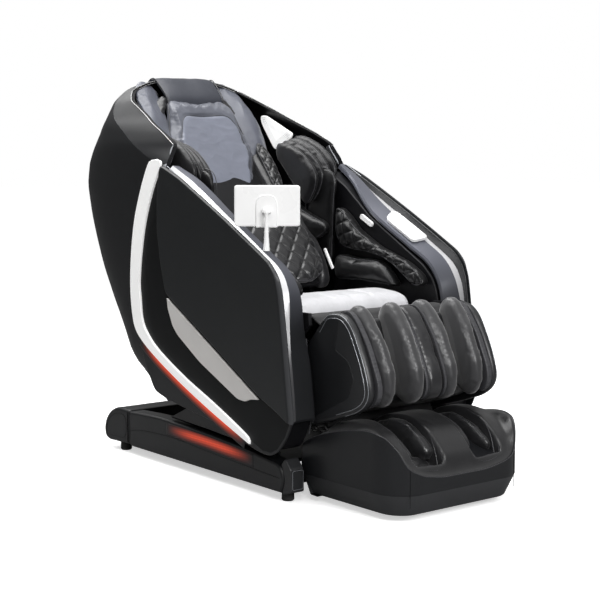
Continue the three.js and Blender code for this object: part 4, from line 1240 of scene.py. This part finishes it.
HEAD_SIDE = [[0.134, 0.548, 1.276, 0.042, 0.012, 0.2], [0.160, 0.522, 1.248, 0.060, 0.017, 0.35],
             [0.176, 0.474, 1.200, 0.064, 0.020, 0.45], [0.186, 0.424, 1.145, 0.060, 0.021, 0.5],
             [0.192, 0.380, 1.085, 0.053, 0.020, 0.5], [0.192, 0.338, 1.025, 0.044, 0.018, 0.5]]
obj = bolster(HEAD_SIDE, "head_side", HEAD_LEATHER, 0.006)
wrinkle(obj, 0.003, (11, 8, 5), 2.3, lambda p: smoothstep(p[:, 2], 1.02, 1.12))
place_pair(obj, "head_side", "back", "grey_leather")
SEAM = [[0.172, 0.540, 1.276], [0.212, 0.506, 1.246], [0.232, 0.452, 1.198], [0.240, 0.400, 1.140],
        [0.240, 0.356, 1.080], [0.232, 0.318, 1.020]]
line = resample(spline(SEAM, 6), 50)
cord_pair(Shape().tube(drape(obj, line, 0.0006), 0.002), "head_side_piping", "back", "grey_leather")

NECK = [[0.158, 0.925], [0.196, 0.905], [0.222, 0.985], [0.216, 1.050], [0.192, 1.085], [0.166, 1.055]]
ring = smooth_ring(NECK, 0.014, 80)
flat = Shape().slab(ring, 0.0, 0.02, 0.005, steps=3, axis=1)
NECK_FRONT = table([[0.88, 0.176], [0.935, 0.205], [1.033, 0.292], [1.109, 0.352]])
obj = to_object(flat.moved(behind(NECK_FRONT)), "neck_strip", [QUILT_LEATHER])
inflate(obj, 0.008, 0.006)
quilt(obj, [0.19, 0.25, 1.0], ACROSS, UP, (0.034, 0.046), 0.0035)
place_pair(obj, "neck_strip", "back")
ring3 = np.column_stack([ring[:, 0], NECK_FRONT(ring[:, 1]) + 0.003, ring[:, 1]])
cord_pair(Shape().tube(drape(obj, ring3, 0.0005), 0.0017, closed=True), "neck_piping", "back")

SHOULDER = mm([[264, 1084], [201, 1088], [99, 1046], [27, 976], [38, 915], [90, 853], [270, 1030]])
cords = Shape()
for i, x in enumerate((0.2890, 0.2640, 0.2390, 0.2140)):
    out = 1 - i / 3
    ahead = np.outer(1 - smoothstep(SHOULDER[:, 0], 0.10, 0.27), [-0.014 * out, 0])
    flat = SHOULDER + ahead + [0, 0.026 * out]
    ring = smooth_ring(flat, [0.02, 0.04, 0.05, 0.05, 0.05, 0.03, 0.03], 100)
    obj = upright("shoulder", ring, (x, x + 0.016), 0.006, [SHOULDER_LEATHER_PAINTED_SHADE], 0.005, 0.006)
    crown(obj, ring, 0.005)
    wrinkle(obj, 0.0005, (8, 8, 8), 4.0 + i)
    cords.tube(drape(obj, side_view(ring, x - 0.002), 0.0002), 0.0012, closed=True)
    place_pair(obj, f"shoulder_layer_{i + 1}", "back", nodes=["shoulder_pad"] if i == 0 else ())
cord_pair(cords, "shoulder_piping", "back")

SIDE_FILL = mm([[60, 1000], [140, 860], [70, 700], [6, 640], [-12, 700], [-16, 790], [-20, 880], [-28, 950],
                [-6, 990]])
ring = smooth_ring(SIDE_FILL, 0.03, 90)
obj = upright("side_fill", ring, (0.250, 0.266), 0.005, [CABIN_LEATHER_PAINTED_SHADE], 0.006, 0.008)
place_pair(obj, "side_fill", "back")
cord_pair(Shape().tube(side_view(ring, 0.2475), 0.0014, closed=True), "side_fill_piping", "back")

WAIST = mm([[170, 880], [123, 854], [-2, 808], [-20, 792], [-14, 774], [44, 744], [110, 766], [180, 800]])
ring = smooth_ring(WAIST, 0.014, 80)
obj = upright("waist", ring, (0.212, 0.245), 0.010, [CABIN_LEATHER_PAINTED_SHADE], 0.008, 0.007, steps=4)
crown(obj, ring, 0.008, 0.0)
wrinkle(obj, 0.0012, (14, 14, 14), 9.0)
place_pair(obj, "waist_pad", "back")
cord_pair(Shape().tube(drape(obj, side_view(ring, 0.214), 0.0003), 0.0013, closed=True), "waist_piping",
          "back")
tab = rounded(mm([[-36, 722], [-29, 716], [-72, 650], [-80, 655]]), 0.003, 4)
hard_pair(Shape().slab(tab, 0.196, 0.203, 0.0012, steps=2), "waist_tab", [WHITE], "back", "white_plastic")

# ---------- Seat, hip and arm padding ----------

SEAT = mm([[-448, 474], [-453, 560], [-432, 592], [-320, 599], [-160, 576], [-62, 553], [30, 540],
           [34, 500]])
obj = upright("seat_pad", smooth_ring(SEAT, 0.024, 120), (-0.232, 0.232), 0.02,
              [SEAT_LEATHER_PAINTED_HIGHLIGHT, BLACK_LEATHER], 0.010, 0.009, steps=5)
SEAT_LINE = mm([[-455, 500], [-450, 575], [-432, 596], [-320, 602], [-160, 580], [-62, 558], [30, 545]])
for x in (-0.078, 0.078):
    crease(obj, [[x, y, z + 0.006] for y, z in SEAT_LINE], 0.004, 0.007)
wrinkle(obj, 0.0012, (22, 5, 8), 12.0)
# The seat front below the crest keeps the black leather; the painted highlight stays on top.
paint(obj, 1, lambda c: (c[:, 2] < 0.556) & (c[:, 1] < -0.2))
place(obj, "seat", "grey_leather", ["seat_cushion"])

HIP = mm([[-30, 612], [-30, 700], [-268, 692], [-318, 650], [-352, 608]])
ring = smooth_ring(HIP, [0.02, 0.03, 0.04, 0.03, 0.014], 90)
obj = upright("hip", ring, (0.240, 0.279), 0.008, [CABIN_LEATHER_PAINTED_SHADE], 0.008, 0.008)
crown(obj, ring, 0.010, 0.0)
wrinkle(obj, 0.001, (10, 10, 10), 6.2)
place_pair(obj, "hip_cushion", "seat", nodes=["hip_pad"])
cords = Shape().tube(drape(obj, side_view(ring, 0.2405), 0.0003), 0.0013, closed=True)
cords.loop(drape(obj, side_view(inset(ring, 0.007), 0.2385), 0.0001), 0.0006, 0)
cord_pair(cords, "hip_piping", "seat")

SLEEVE = mm([[-30, 862], [-72, 848], [-130, 806], [-191, 770], [-250, 736], [-397, 690], [-462, 652],
             [-474, 618], [-428, 614], [-330, 682], [-250, 710], [-60, 724], [-30, 778]])
ring = smooth_ring(SLEEVE, [0.02] + [0.03] * 5 + [0.02, 0.014, 0.02] + [0.03] * 4, 150)
obj = upright("sleeve", ring, (0.243, 0.280), 0.008, [CABIN_LEATHER_PAINTED_SHADE], 0.009, 0.0065)
crown(obj, ring, 0.006, 0.0)
direction = [0, -math.cos(ARM_SLOPE), -math.sin(ARM_SLOPE)]
rise = [0, -math.sin(ARM_SLOPE), math.cos(ARM_SLOPE)]
quilt(obj, [0.24, -0.2, 0.72], direction, rise, (0.058, 0.058), 0.0045)
place_pair(obj, "arm_sleeve", "seat", nodes=["arm_pad"])
cord_pair(Shape().tube(drape(obj, side_view(ring, 0.2435), 0.0003), 0.0014, closed=True), "arm_sleeve_piping",
          "seat")

# ---------- Calf rest ----------

CALF_SIDE = mm([[-602, 582], [-579, 552], [-547, 510], [-505, 476], [-490, 456], [-509, 229], [-650, 269],
                [-739, 300], [-776, 323], [-795, 356], [-792, 392], [-773, 447], [-746, 502], [-715, 557],
                [-672, 588]])
ring = smooth_ring(CALF_SIDE, [0.03] + [0.01] * 5 + [0.02] * 2 + [0.03] * 7, 150)
calf = Shape().slab(ring, 0.2345, 0.2665, 0.0155, steps=7)
# Painted shade: a darker plate stands in for the shade on the rear part of the calf side.
facet = mm([[-664, 570], [-645, 477], [-704, 452], [-730, 400], [-705, 342], [-543, 262], [-520, 262],
            [-506, 455], [-533, 495], [-590, 560]])
calf.slab(smooth_ring(facet, 0.012, 70), 0.2655, 0.2672, 0.0008, kind=1, steps=2)
hard_pair(calf, "calf_side", [CASING, SHELL], "calf", "satin_black")
lines = Shape()
for pull, x in ((0.0152, 0.2666), (0.0046, 0.2623)):
    path = inset(ring, pull)
    keep = (path[:, 0] < -0.575) & (path[:, 1] > 0.285)
    first = np.argmax(keep & ~np.roll(keep, 1))
    lines.tube(side_view(np.roll(path, -first, axis=0)[: keep.sum()], x), 0.0011, sides=6)
hard_pair(lines, "calf_trim", [EDGE], "calf", "satin_black", angle=CORD_ANGLE)

CRADLE = mm([[-600, 548], [-640, 560], [-664, 500], [-702, 420], [-708, 350], [-690, 306], [-560, 258],
             [-530, 440]])
obj = to_object(Shape().slab(smooth_ring(CRADLE, 0.02, 90), -0.236, 0.236, 0.006, steps=3), "calf_cradle",
                [BLACK_LEATHER])
wrinkle(obj, 0.0008, (12, 12, 12), 7.0)
obj.data.shade_smooth()
obj.data.set_sharp_from_angle(angle=math.radians(50))
place(obj, "calf", "black_leather", ["calf_shell"])

FIN = mm([[-612, 560], [-622, 588], [-650, 610], [-680, 608], [-708, 584], [-754, 526], [-802, 424],
          [-808, 372], [-794, 328], [-760, 306], [-690, 330], [-640, 500]])
cords = Shape()
ring = smooth_ring(FIN, 0.026, 130)
fins = ((0.047, 0.077, 0.006, ["calf_pad"]), (0.176, 0.202, -0.010, []))
for number, (x0, x1, lean, nodes) in enumerate(fins):
    def leaning(p, lean=lean):
        """The fins' front edges lean toward each other."""
        return p + np.column_stack([lean * smoothstep(-p[:, 1], 0.66, 0.80), np.zeros((len(p), 2))])

    obj = upright("fin", ring, (x0, x1), 0.005, [FIN_LEATHER_PAINTED_HIGHLIGHT], 0.006, 0.0065, move=leaning)
    crown(obj, ring, 0.013)
    wrinkle(obj, 0.0009, (6, 5, 5), 5.5 + number * 3)
    wrinkle(obj, 0.0012, (5, 16, 16), 9.5 + number * 3, lambda p: smoothstep(-p[:, 1], 0.745, 0.80))
    for x in (x0 - 0.001, x1 + 0.001):
        front = ring[ring[:, 0] < -0.625]
        front = front[np.argsort(np.arctan2(front[:, 1] - 0.44, front[:, 0] + 0.66))]
        crest = side_view(front, x + lean * smoothstep(-front[:, 0], 0.66, 0.80))
        crest = crest[(front[:, 1] > 0.33) & (front[:, 0] < -0.640)]
        order = np.argsort(-crest[:, 2])
        crest = drape(obj, resample(crest[order], 90), 0.0003)
        for _ in range(14):
            crest[1:-1] = (crest[:-2] + crest[1:-1] + crest[2:]) / 3
        cords.tube(crest, 0.0011)
    place_pair(obj, f"calf_fin_{number + 1}", "calf", nodes=nodes)
cord_pair(cords, "calf_fin_piping", "calf")

DIVIDER = mm([[-606, 556], [-628, 586], [-664, 596], [-700, 572], [-752, 500], [-800, 396], [-802, 352],
              [-780, 318], [-700, 312], [-630, 500]])
ring = smooth_ring(DIVIDER, 0.026, 110)
obj = upright("calf_divider", ring, (-0.028, 0.028), 0.009, [PAD_LEATHER], 0.006, 0.007, steps=4)
crown(obj, ring, 0.003)
wrinkle(obj, 0.0008, (14, 14, 14), 1.0)
place(obj, "calf", "black_leather")
strips = Shape().slab(inset(ring, 0.004), 0.0315, 0.0425, 0.003, steps=3)
strips.slab(inset(ring, 0.003), 0.2135, 0.2335, 0.004, steps=3)
strips.loop(side_view(inset(ring, 0.003), 0.0315), 0.0012, 1, 6)
strips.loop(side_view(inset(ring, 0.002), 0.2340), 0.0012, 1, 6)
hard_pair(strips, "calf_strip", [PUNCHED, PIPING], "calf", "black_leather")

# ---------- Foot rest ----------

FOOT_PLAN = mm([[-270, -486], [-270, -862], [-208, -923], [208, -923], [270, -862], [270, -486]])
PLAN_COUNT = 240
plan = smooth_ring(FOOT_PLAN, [0.012, 0.05, 0.04, 0.04, 0.05, 0.012], PLAN_COUNT, 8)
SIDE_SEAM = table([[-0.93, 0.150], [-0.910, 0.175], [-0.885, 0.222], [-0.855, 0.250], [-0.803, 0.260],
                   [-0.716, 0.250], [-0.620, 0.228], [-0.512, 0.186], [-0.486, 0.160]])
FRONT_SEAM = table([[-0.23, 0.164], [-0.15, 0.134], [-0.065, 0.124], [0.065, 0.124], [0.15, 0.134],
                    [0.23, 0.164]])
FOOT_TOP = table([[-0.925, 0.124], [-0.900, 0.158], [-0.856, 0.206], [-0.79, 0.246], [-0.715, 0.262],
                  [-0.640, 0.253], [-0.560, 0.214], [-0.486, 0.160]])


def seam_height(x, y):
    """The height of the seam where the leather top meets the casing."""
    front = smoothstep(-y, 0.895, 0.921)
    return (1 - front) * SIDE_SEAM(y) + front * FRONT_SEAM(np.clip(x, -0.23, 0.23))


seam_z = seam_height(plan[:, 0], plan[:, 1])
WELL_X, WELL_HALF = 0.118, 0.062


def well_depth(x, y):
    """How deep the leather top is let in for the feet."""
    across = 1 - smoothstep(np.abs(np.abs(x) - WELL_X), WELL_HALF * 0.72, WELL_HALF)
    along = smoothstep(-y, 0.47, 0.53) * (1 - smoothstep(-y, 0.880, 0.898))
    return across * along * 0.085


def foot_top(y, f):
    """The leather's height on the ring at f of the way out from the middle."""
    blend = smoothstep(1 - f, 0.0, 0.16)
    return seam_z + (FOOT_TOP(y) + 0.004 - seam_z) * blend + 0.006 * np.sqrt(1 - f**2)


casing = Shape()
levels = ((0.060, 0.018), (0.034, 0.020), (0.030, 0.023), (0.0012, 0.084), (0.0, 0.088))
rings = [outline_at(inset(plan, pull), z) for pull, z in levels]
for t in np.linspace(0.15, 1, 9):
    rings.append(np.column_stack([plan, 0.090 + (seam_z - 0.090) * t]))
rings.append(np.column_stack([inset(plan, 0.003), seam_z - 0.001]))
rings.append(np.column_stack([inset(plan, 0.020), seam_z - 0.012]))
BEVEL_ROW = 2  # the sloping band round the bottom, in the paler plastic: painted light where the slope catches it
casing.loft(rings, kind=lambda row: 1 if row == BEVEL_ROW else 0)
seam_lines = Shape()
hard(casing, "foot_casing", [FOOT_SIDE, BAND], "foot", "satin_black", ["foot_shell"], angle=24)
for side in (-1, 1):
    k = np.argmin(np.linalg.norm(plan - [side * 0.214, -0.923], axis=1))
    p = plan[k]
    seam_lines.tube([[p[0], p[1] - 0.0004, z] for z in np.linspace(0.05, seam_z[k], 12)], 0.0008)
loop = np.column_stack([inset(plan, 0.0005), seam_z])
keep = plan[:, 1] < -0.50
loop = loop[keep]
cut = np.argmax(np.linalg.norm(np.diff(np.vstack([loop, loop[:1]]), axis=0), axis=1)) + 1
loop = np.roll(loop, -cut, axis=0)
seam_lines.tube(loop, 0.0012, 1)
hard(seam_lines, "foot_seams", [RECESS_BLACK_AND_SHADE, PIPING], "foot", "satin_black", angle=CORD_ANGLE)

centre = np.array([0.0, -0.70])
rings = []
for f in np.concatenate([[0.998], np.linspace(0.985, 0.04, 60)]):
    flat = centre + (inset(plan, 0.002) - centre) * f
    z = foot_top(flat[:, 1], f) - well_depth(flat[:, 0], flat[:, 1])
    rings.append(np.column_stack([flat, z]))
under = [outline_at(centre + (inset(plan, 0.006) - centre) * f, 0.100) for f in (0.3, 0.97)]
top = Shape().loft(under + [np.column_stack([inset(plan, 0.004), seam_z - 0.006])] + rings)
obj = to_object(top, "foot_cover", [BLACK_LEATHER])
smooth = obj.modifiers.new("smooth", "SMOOTH")
smooth.iterations = 3
bake(obj)
wrinkle(obj, 0.0012, (9, 9, 6), 3.3)
obj.data.shade_smooth()
place(obj, "foot", "black_leather", ["foot_cushion"])
cords = Shape()
WELL_Y = -0.71
line = []
for a in turns(90):
    x, y = 0.066 * power(math.cos(a), 0.5), 0.187 * power(math.sin(a), 0.6)
    line.append([WELL_X + x, WELL_Y + y, 0.3])
cords.tube(drape(obj, line, 0.0006, (0, 0, -1)), 0.0015, closed=True)
outer = [[WELL_X + (x - WELL_X) * 1.16, WELL_Y + (y - WELL_Y) * 1.05, z] for x, y, z in line]
cords.tube(drape(obj, outer, 0.0001, (0, 0, -1)), 0.0006, closed=True)
cord_pair(cords, "foot_piping", "foot")

OUTER_LOBE = mm([[-548, 190], [-600, 226], [-660, 250], [-720, 256], [-786, 238], [-838, 208], [-872, 178],
                 [-840, 146], [-560, 140]])
INNER_LOBE = mm([[-548, 190], [-600, 232], [-660, 258], [-720, 266], [-784, 248], [-836, 214], [-862, 184],
                 [-830, 150], [-560, 140]])
cords = Shape()
for number, (outline, x0, x1) in enumerate(((OUTER_LOBE, 0.150, 0.170), (INNER_LOBE, 0.060, 0.092))):
    ring = smooth_ring(outline, 0.025, 90)
    obj = upright("lobe", ring, (x0, x1), 0.006, [BLACK_LEATHER], 0.007, 0.0065)
    crown(obj, ring, 0.006)
    wrinkle(obj, 0.0022, (8, 14, 14), 6.0 + number * 4)
    crest = side_view(ring, x0 if number == 0 else x1)
    cords.tube(drape(obj, crest, 0.0004), 0.0013, closed=True)
    place_pair(obj, f"foot_lobe_{number + 1}", "foot")
cord_pair(cords, "foot_lobe_piping", "foot")
rings = []
for t in np.linspace(0, 1, 12):
    a = math.pi * (0.04 + 0.92 * t)
    ring = []
    for b in turns(28):
        wide = 0.050 * math.sin(a) ** 0.4
        tall = 0.022 * math.sin(b) * math.sin(a) ** 0.5
        ring.append([WELL_X + wide * math.cos(b), -0.868 + 0.080 * t, 0.132 + tall + 0.022 * t])
    rings.append(ring)
obj = to_object(Shape().loft(rings), "toe", [BLACK_LEATHER])
inflate(obj, 0.006, 0.0065)
wrinkle(obj, 0.005, (10, 26, 14), 15.0)
place_pair(obj, "toe_cap", "foot")

loops = Shape()
for y, z, wide in ((-0.530, 0.226, 0.016), (-0.575, 0.232, 0.020)):
    loops.tube([[0.252 + 0.004 * math.sin(3 * a), y + wide * math.cos(a), z + 0.007 * math.sin(a)]
                for a in turns(28)], 0.0022, closed=True)
hard_pair(loops, "foot_loop", [RUBBER], "foot", "satin_black", angle=CORD_ANGLE)

# ---------- Base ----------

COVER = mm([[-478, 28], [-492, 72], [-470, 116], [-300, 136], [-80, 150], [200, 160], [384, 152],
            [384, 30]])
RAIL_X = 0.337
ring = smooth_ring(COVER, [0.004, 0.01, 0.02, 0.06, 0.06, 0.06, 0.004, 0.004], 130)
rail = Shape().slab(ring, 0.274, RAIL_X, 0.009, steps=5)
groove = spline(mm([[384, 84], [300, 98], [110, 103], [-110, 91], [-470, 73]]), 10)
rail.tube(side_view(groove, RAIL_X - 0.0002), 0.0011, 1, 6)
hard_pair(rail, "rail_cover", [SHELL, RECESS_BLACK_AND_SHADE], "base", "satin_black", ["base_cover"])
RAIL_TOP = mm([[150, 154], [60, 151], [-80, 146.5], [-300, 132.5], [-340, 129]])
top_line = resample(spline(RAIL_TOP, 8), GLOW_COUNT)
glow_band(side_view(top_line - [0, 0.006], RAIL_X + 0.0004), np.tile([0, 0, -1.0], (GLOW_COUNT, 1)), 0.040,
          lambda s: math.exp(-(((s - 0.42) / 0.30) ** 2)), "rail_glow", RAIL, "base", 0.35)

CAP = mm([[-494, 27], [-482, 27], [-496, 72], [-478, 118], [-496, 138], [-524, 108], [-528, 38]])
cap = Shape().slab(smooth_ring(CAP, 0.006, 90, 4), 0.286, RAIL_X, 0.004, steps=4)
border = rounded(mm([[292, 46], [332, 46], [332, 104], [292, 104]]), 0.006, 4)
cap.loop(np.insert(border, 1, -0.529, axis=1), 0.0007)
hard_pair(cap, "rail_cap", [CASING, EDGE], "base", "charcoal", ["front_cap"])
REAR_BAR = mm([[385, 34], [385, 155], [470, 158], [528, 130], [558, 84], [552, 40], [528, 30]])
ring = smooth_ring(REAR_BAR, [0.004, 0.006, 0.05, 0.05, 0.03, 0.02, 0.01], 130, 8)
bar = Shape().slab(ring, -RAIL_X, RAIL_X, 0.012, steps=6)
for x in (-RAIL_X - 0.0002, RAIL_X + 0.0002):
    bar.loop(side_view(smooth_ring(inset(REAR_BAR, 0.02), 0.03, 60), x), 0.0008)
hard(bar, "rear_bar", [SHELL, RECESS_BLACK_AND_SHADE], "base", "satin_black", ["base_rear_cover"])

COVER_PLATE = mm([[30, 221], [96, 190], [150, 166], [-80, 156], [-300, 142], [-395, 131], [-395, 141],
                  [-300, 168], [-120, 205], [-20, 218]])
plate = Shape().slab(rounded(COVER_PLATE, 0.006, 3), 0.297, 0.320, 0.003, steps=2)
hard_pair(plate, "carriage_cover", [CASING], "carriage", "charcoal")


def shade_sheet(name, top, bottom, half, sag=0.0):
    """A loose pleated dark sheet between two moving parts, standing in for the shade there (painted shade);
    top and bottom are (y, z) of its two edges.
    """
    pleats = 2.5
    xs = np.linspace(-half, half, 50)
    rows = []
    for t in np.linspace(0, 1, 25):
        y, z = np.array(top) * (1 - t) + np.array(bottom) * t
        fold = 0.006 * math.sin(2 * math.pi * pleats * t) * math.sin(math.pi * t)
        z -= sag * math.sin(math.pi * t)
        rows.append([[x, y + fold + 0.002 * math.sin(x * 70 + 9 * t), z] for x in xs])
    obj = to_object(Shape().sheet(rows, 0.004), name, [SHADE_CLOTH])
    obj.data.shade_smooth()
    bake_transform(obj)


# Painted shade: dark sheets fill the shaded gaps under the seat front and between the calf and the foot.
shade_sheet("knee_shade_sheet", (-0.445, 0.550), (-0.585, 0.545), 0.268, -0.022)
shade_sheet("ankle_shade_sheet", (-0.545, 0.270), (-0.560, 0.140), 0.215)

# ---------- Carried-over CAD nodes ----------

FINISH = {
    STEEL: ("base_frame", "tilt_rod", "seat_frame", "back_frame", "recline_rod", "legrest_rod"),
    MOTOR: ("control_box", "tilt_actuator", "recline_actuator", "legrest_actuator", "massage_carriage"),
    CASING: ("slide_carriage",),
    RUBBER: ("transport_wheels", "foot_front_left", "foot_front_right", "foot_rear_left", "foot_rear_right"),
    WHITE: ("kneading_rollers", "foot_rollers"),
}
for material, names in FINISH.items():
    for name in names:
        mesh = frame["nodes"][name].data
        mesh.materials.clear()
        mesh.materials.append(material)

# ---------- Floor, light and camera ----------

floor_mesh = bpy.data.meshes.new("floor")
floor_mesh.from_pydata([(-30, -30, 0), (30, -30, 0), (30, 30, 0), (-30, 30, 0)], [], [(0, 1, 2, 3)])
n = Nodes("studio_floor")
pale = n.mix(n.noise(0.8, 3), (0.92, 0.92, 0.92), (0.95, 0.95, 0.95))
seen = n.add("ShaderNodeLightPath").outputs["Is Camera Ray"]
floor_mesh.materials.append(n.surface(
    Base_Color=n.mix(seen, (0.22, 0.22, 0.22), pale),
    Roughness=0.9,
    Emission_Color=(1, 1, 1, 1),
    Emission_Strength=n.ramp(seen, 0.0, 0.55),
))
floor = bpy.data.objects.new("floor", floor_mesh)
scene.collection.objects.link(floor)

world = Nodes("studio", "worlds")
scene.world = world.block
where = world.add("ShaderNodeTexCoord").outputs["Generated"]
parts = world.add("ShaderNodeSeparateXYZ", {"Vector": where})
height = world.ramp(parts.outputs["Z"], 0.10, 1.15, 0.0, 0.92, interpolation_type="SMOOTHSTEP")
side = world.ramp(parts.outputs["X"], 0.55, 0.60, -0.9, 0.5, interpolation_type="SMOOTHSTEP")
WHITE_LIGHT = {"Color": (1, 1, 1, 1)}
soft = world.add("ShaderNodeBackground", {**WHITE_LIGHT, "Strength": world.times(height, side)})
clear = world.add("ShaderNodeBackground", WHITE_LIGHT)
seen = world.add("ShaderNodeLightPath").outputs["Is Camera Ray"]
choose = world.add("ShaderNodeMixShader", {
    "Fac": seen, 1: soft.outputs["Background"], 2: clear.outputs["Background"],
})
world.add("ShaderNodeOutputWorld", {"Surface": choose.outputs["Shader"]})


def softbox(name, location, target, size, watts):
    """A rectangular lamp turned to face the target."""
    light = bpy.data.lights.new(name, "AREA")
    light.shape = "RECTANGLE"
    light.size, light.size_y = size
    light.energy = watts
    obj = bpy.data.objects.new(name, light)
    obj.location = location
    obj.rotation_euler = (Vector(target) - Vector(location)).to_track_quat("-Z", "Y").to_euler()
    scene.collection.objects.link(obj)


softbox("overhead", (-0.6, 0.4, 3.4), (0, 0, 0.5), (2.6, 2.4), 98)
softbox("behind", (-0.2, 2.3, 3.0), (0, 0, 0.7), (1.8, 1.5), 36)
softbox("key", (-2.4, -3.6, 3.4), (0, -0.2, 0.7), (0.9, 0.9), 60)
softbox("front", (-0.3, -4.3, 2.1), (0, -0.5, 0.5), (1.6, 1.2), 95)
softbox("fill", (-4.3, -3.0, 1.3), (0, -0.5, 0.5), (1.0, 1.6), 8)

camera = bpy.data.cameras.new("camera")
camera.lens = 85.2
camera.clip_end = 100
camera_object = bpy.data.objects.new("camera", camera)
camera_object.location = (-2.9005, -3.7929 + SHIFT, 1.07)
camera_object.rotation_euler = (math.radians(83.8), 0, math.radians(-38.5))
scene.collection.objects.link(camera_object)
scene.camera = camera_object
scene.view_settings.view_transform = "Standard"
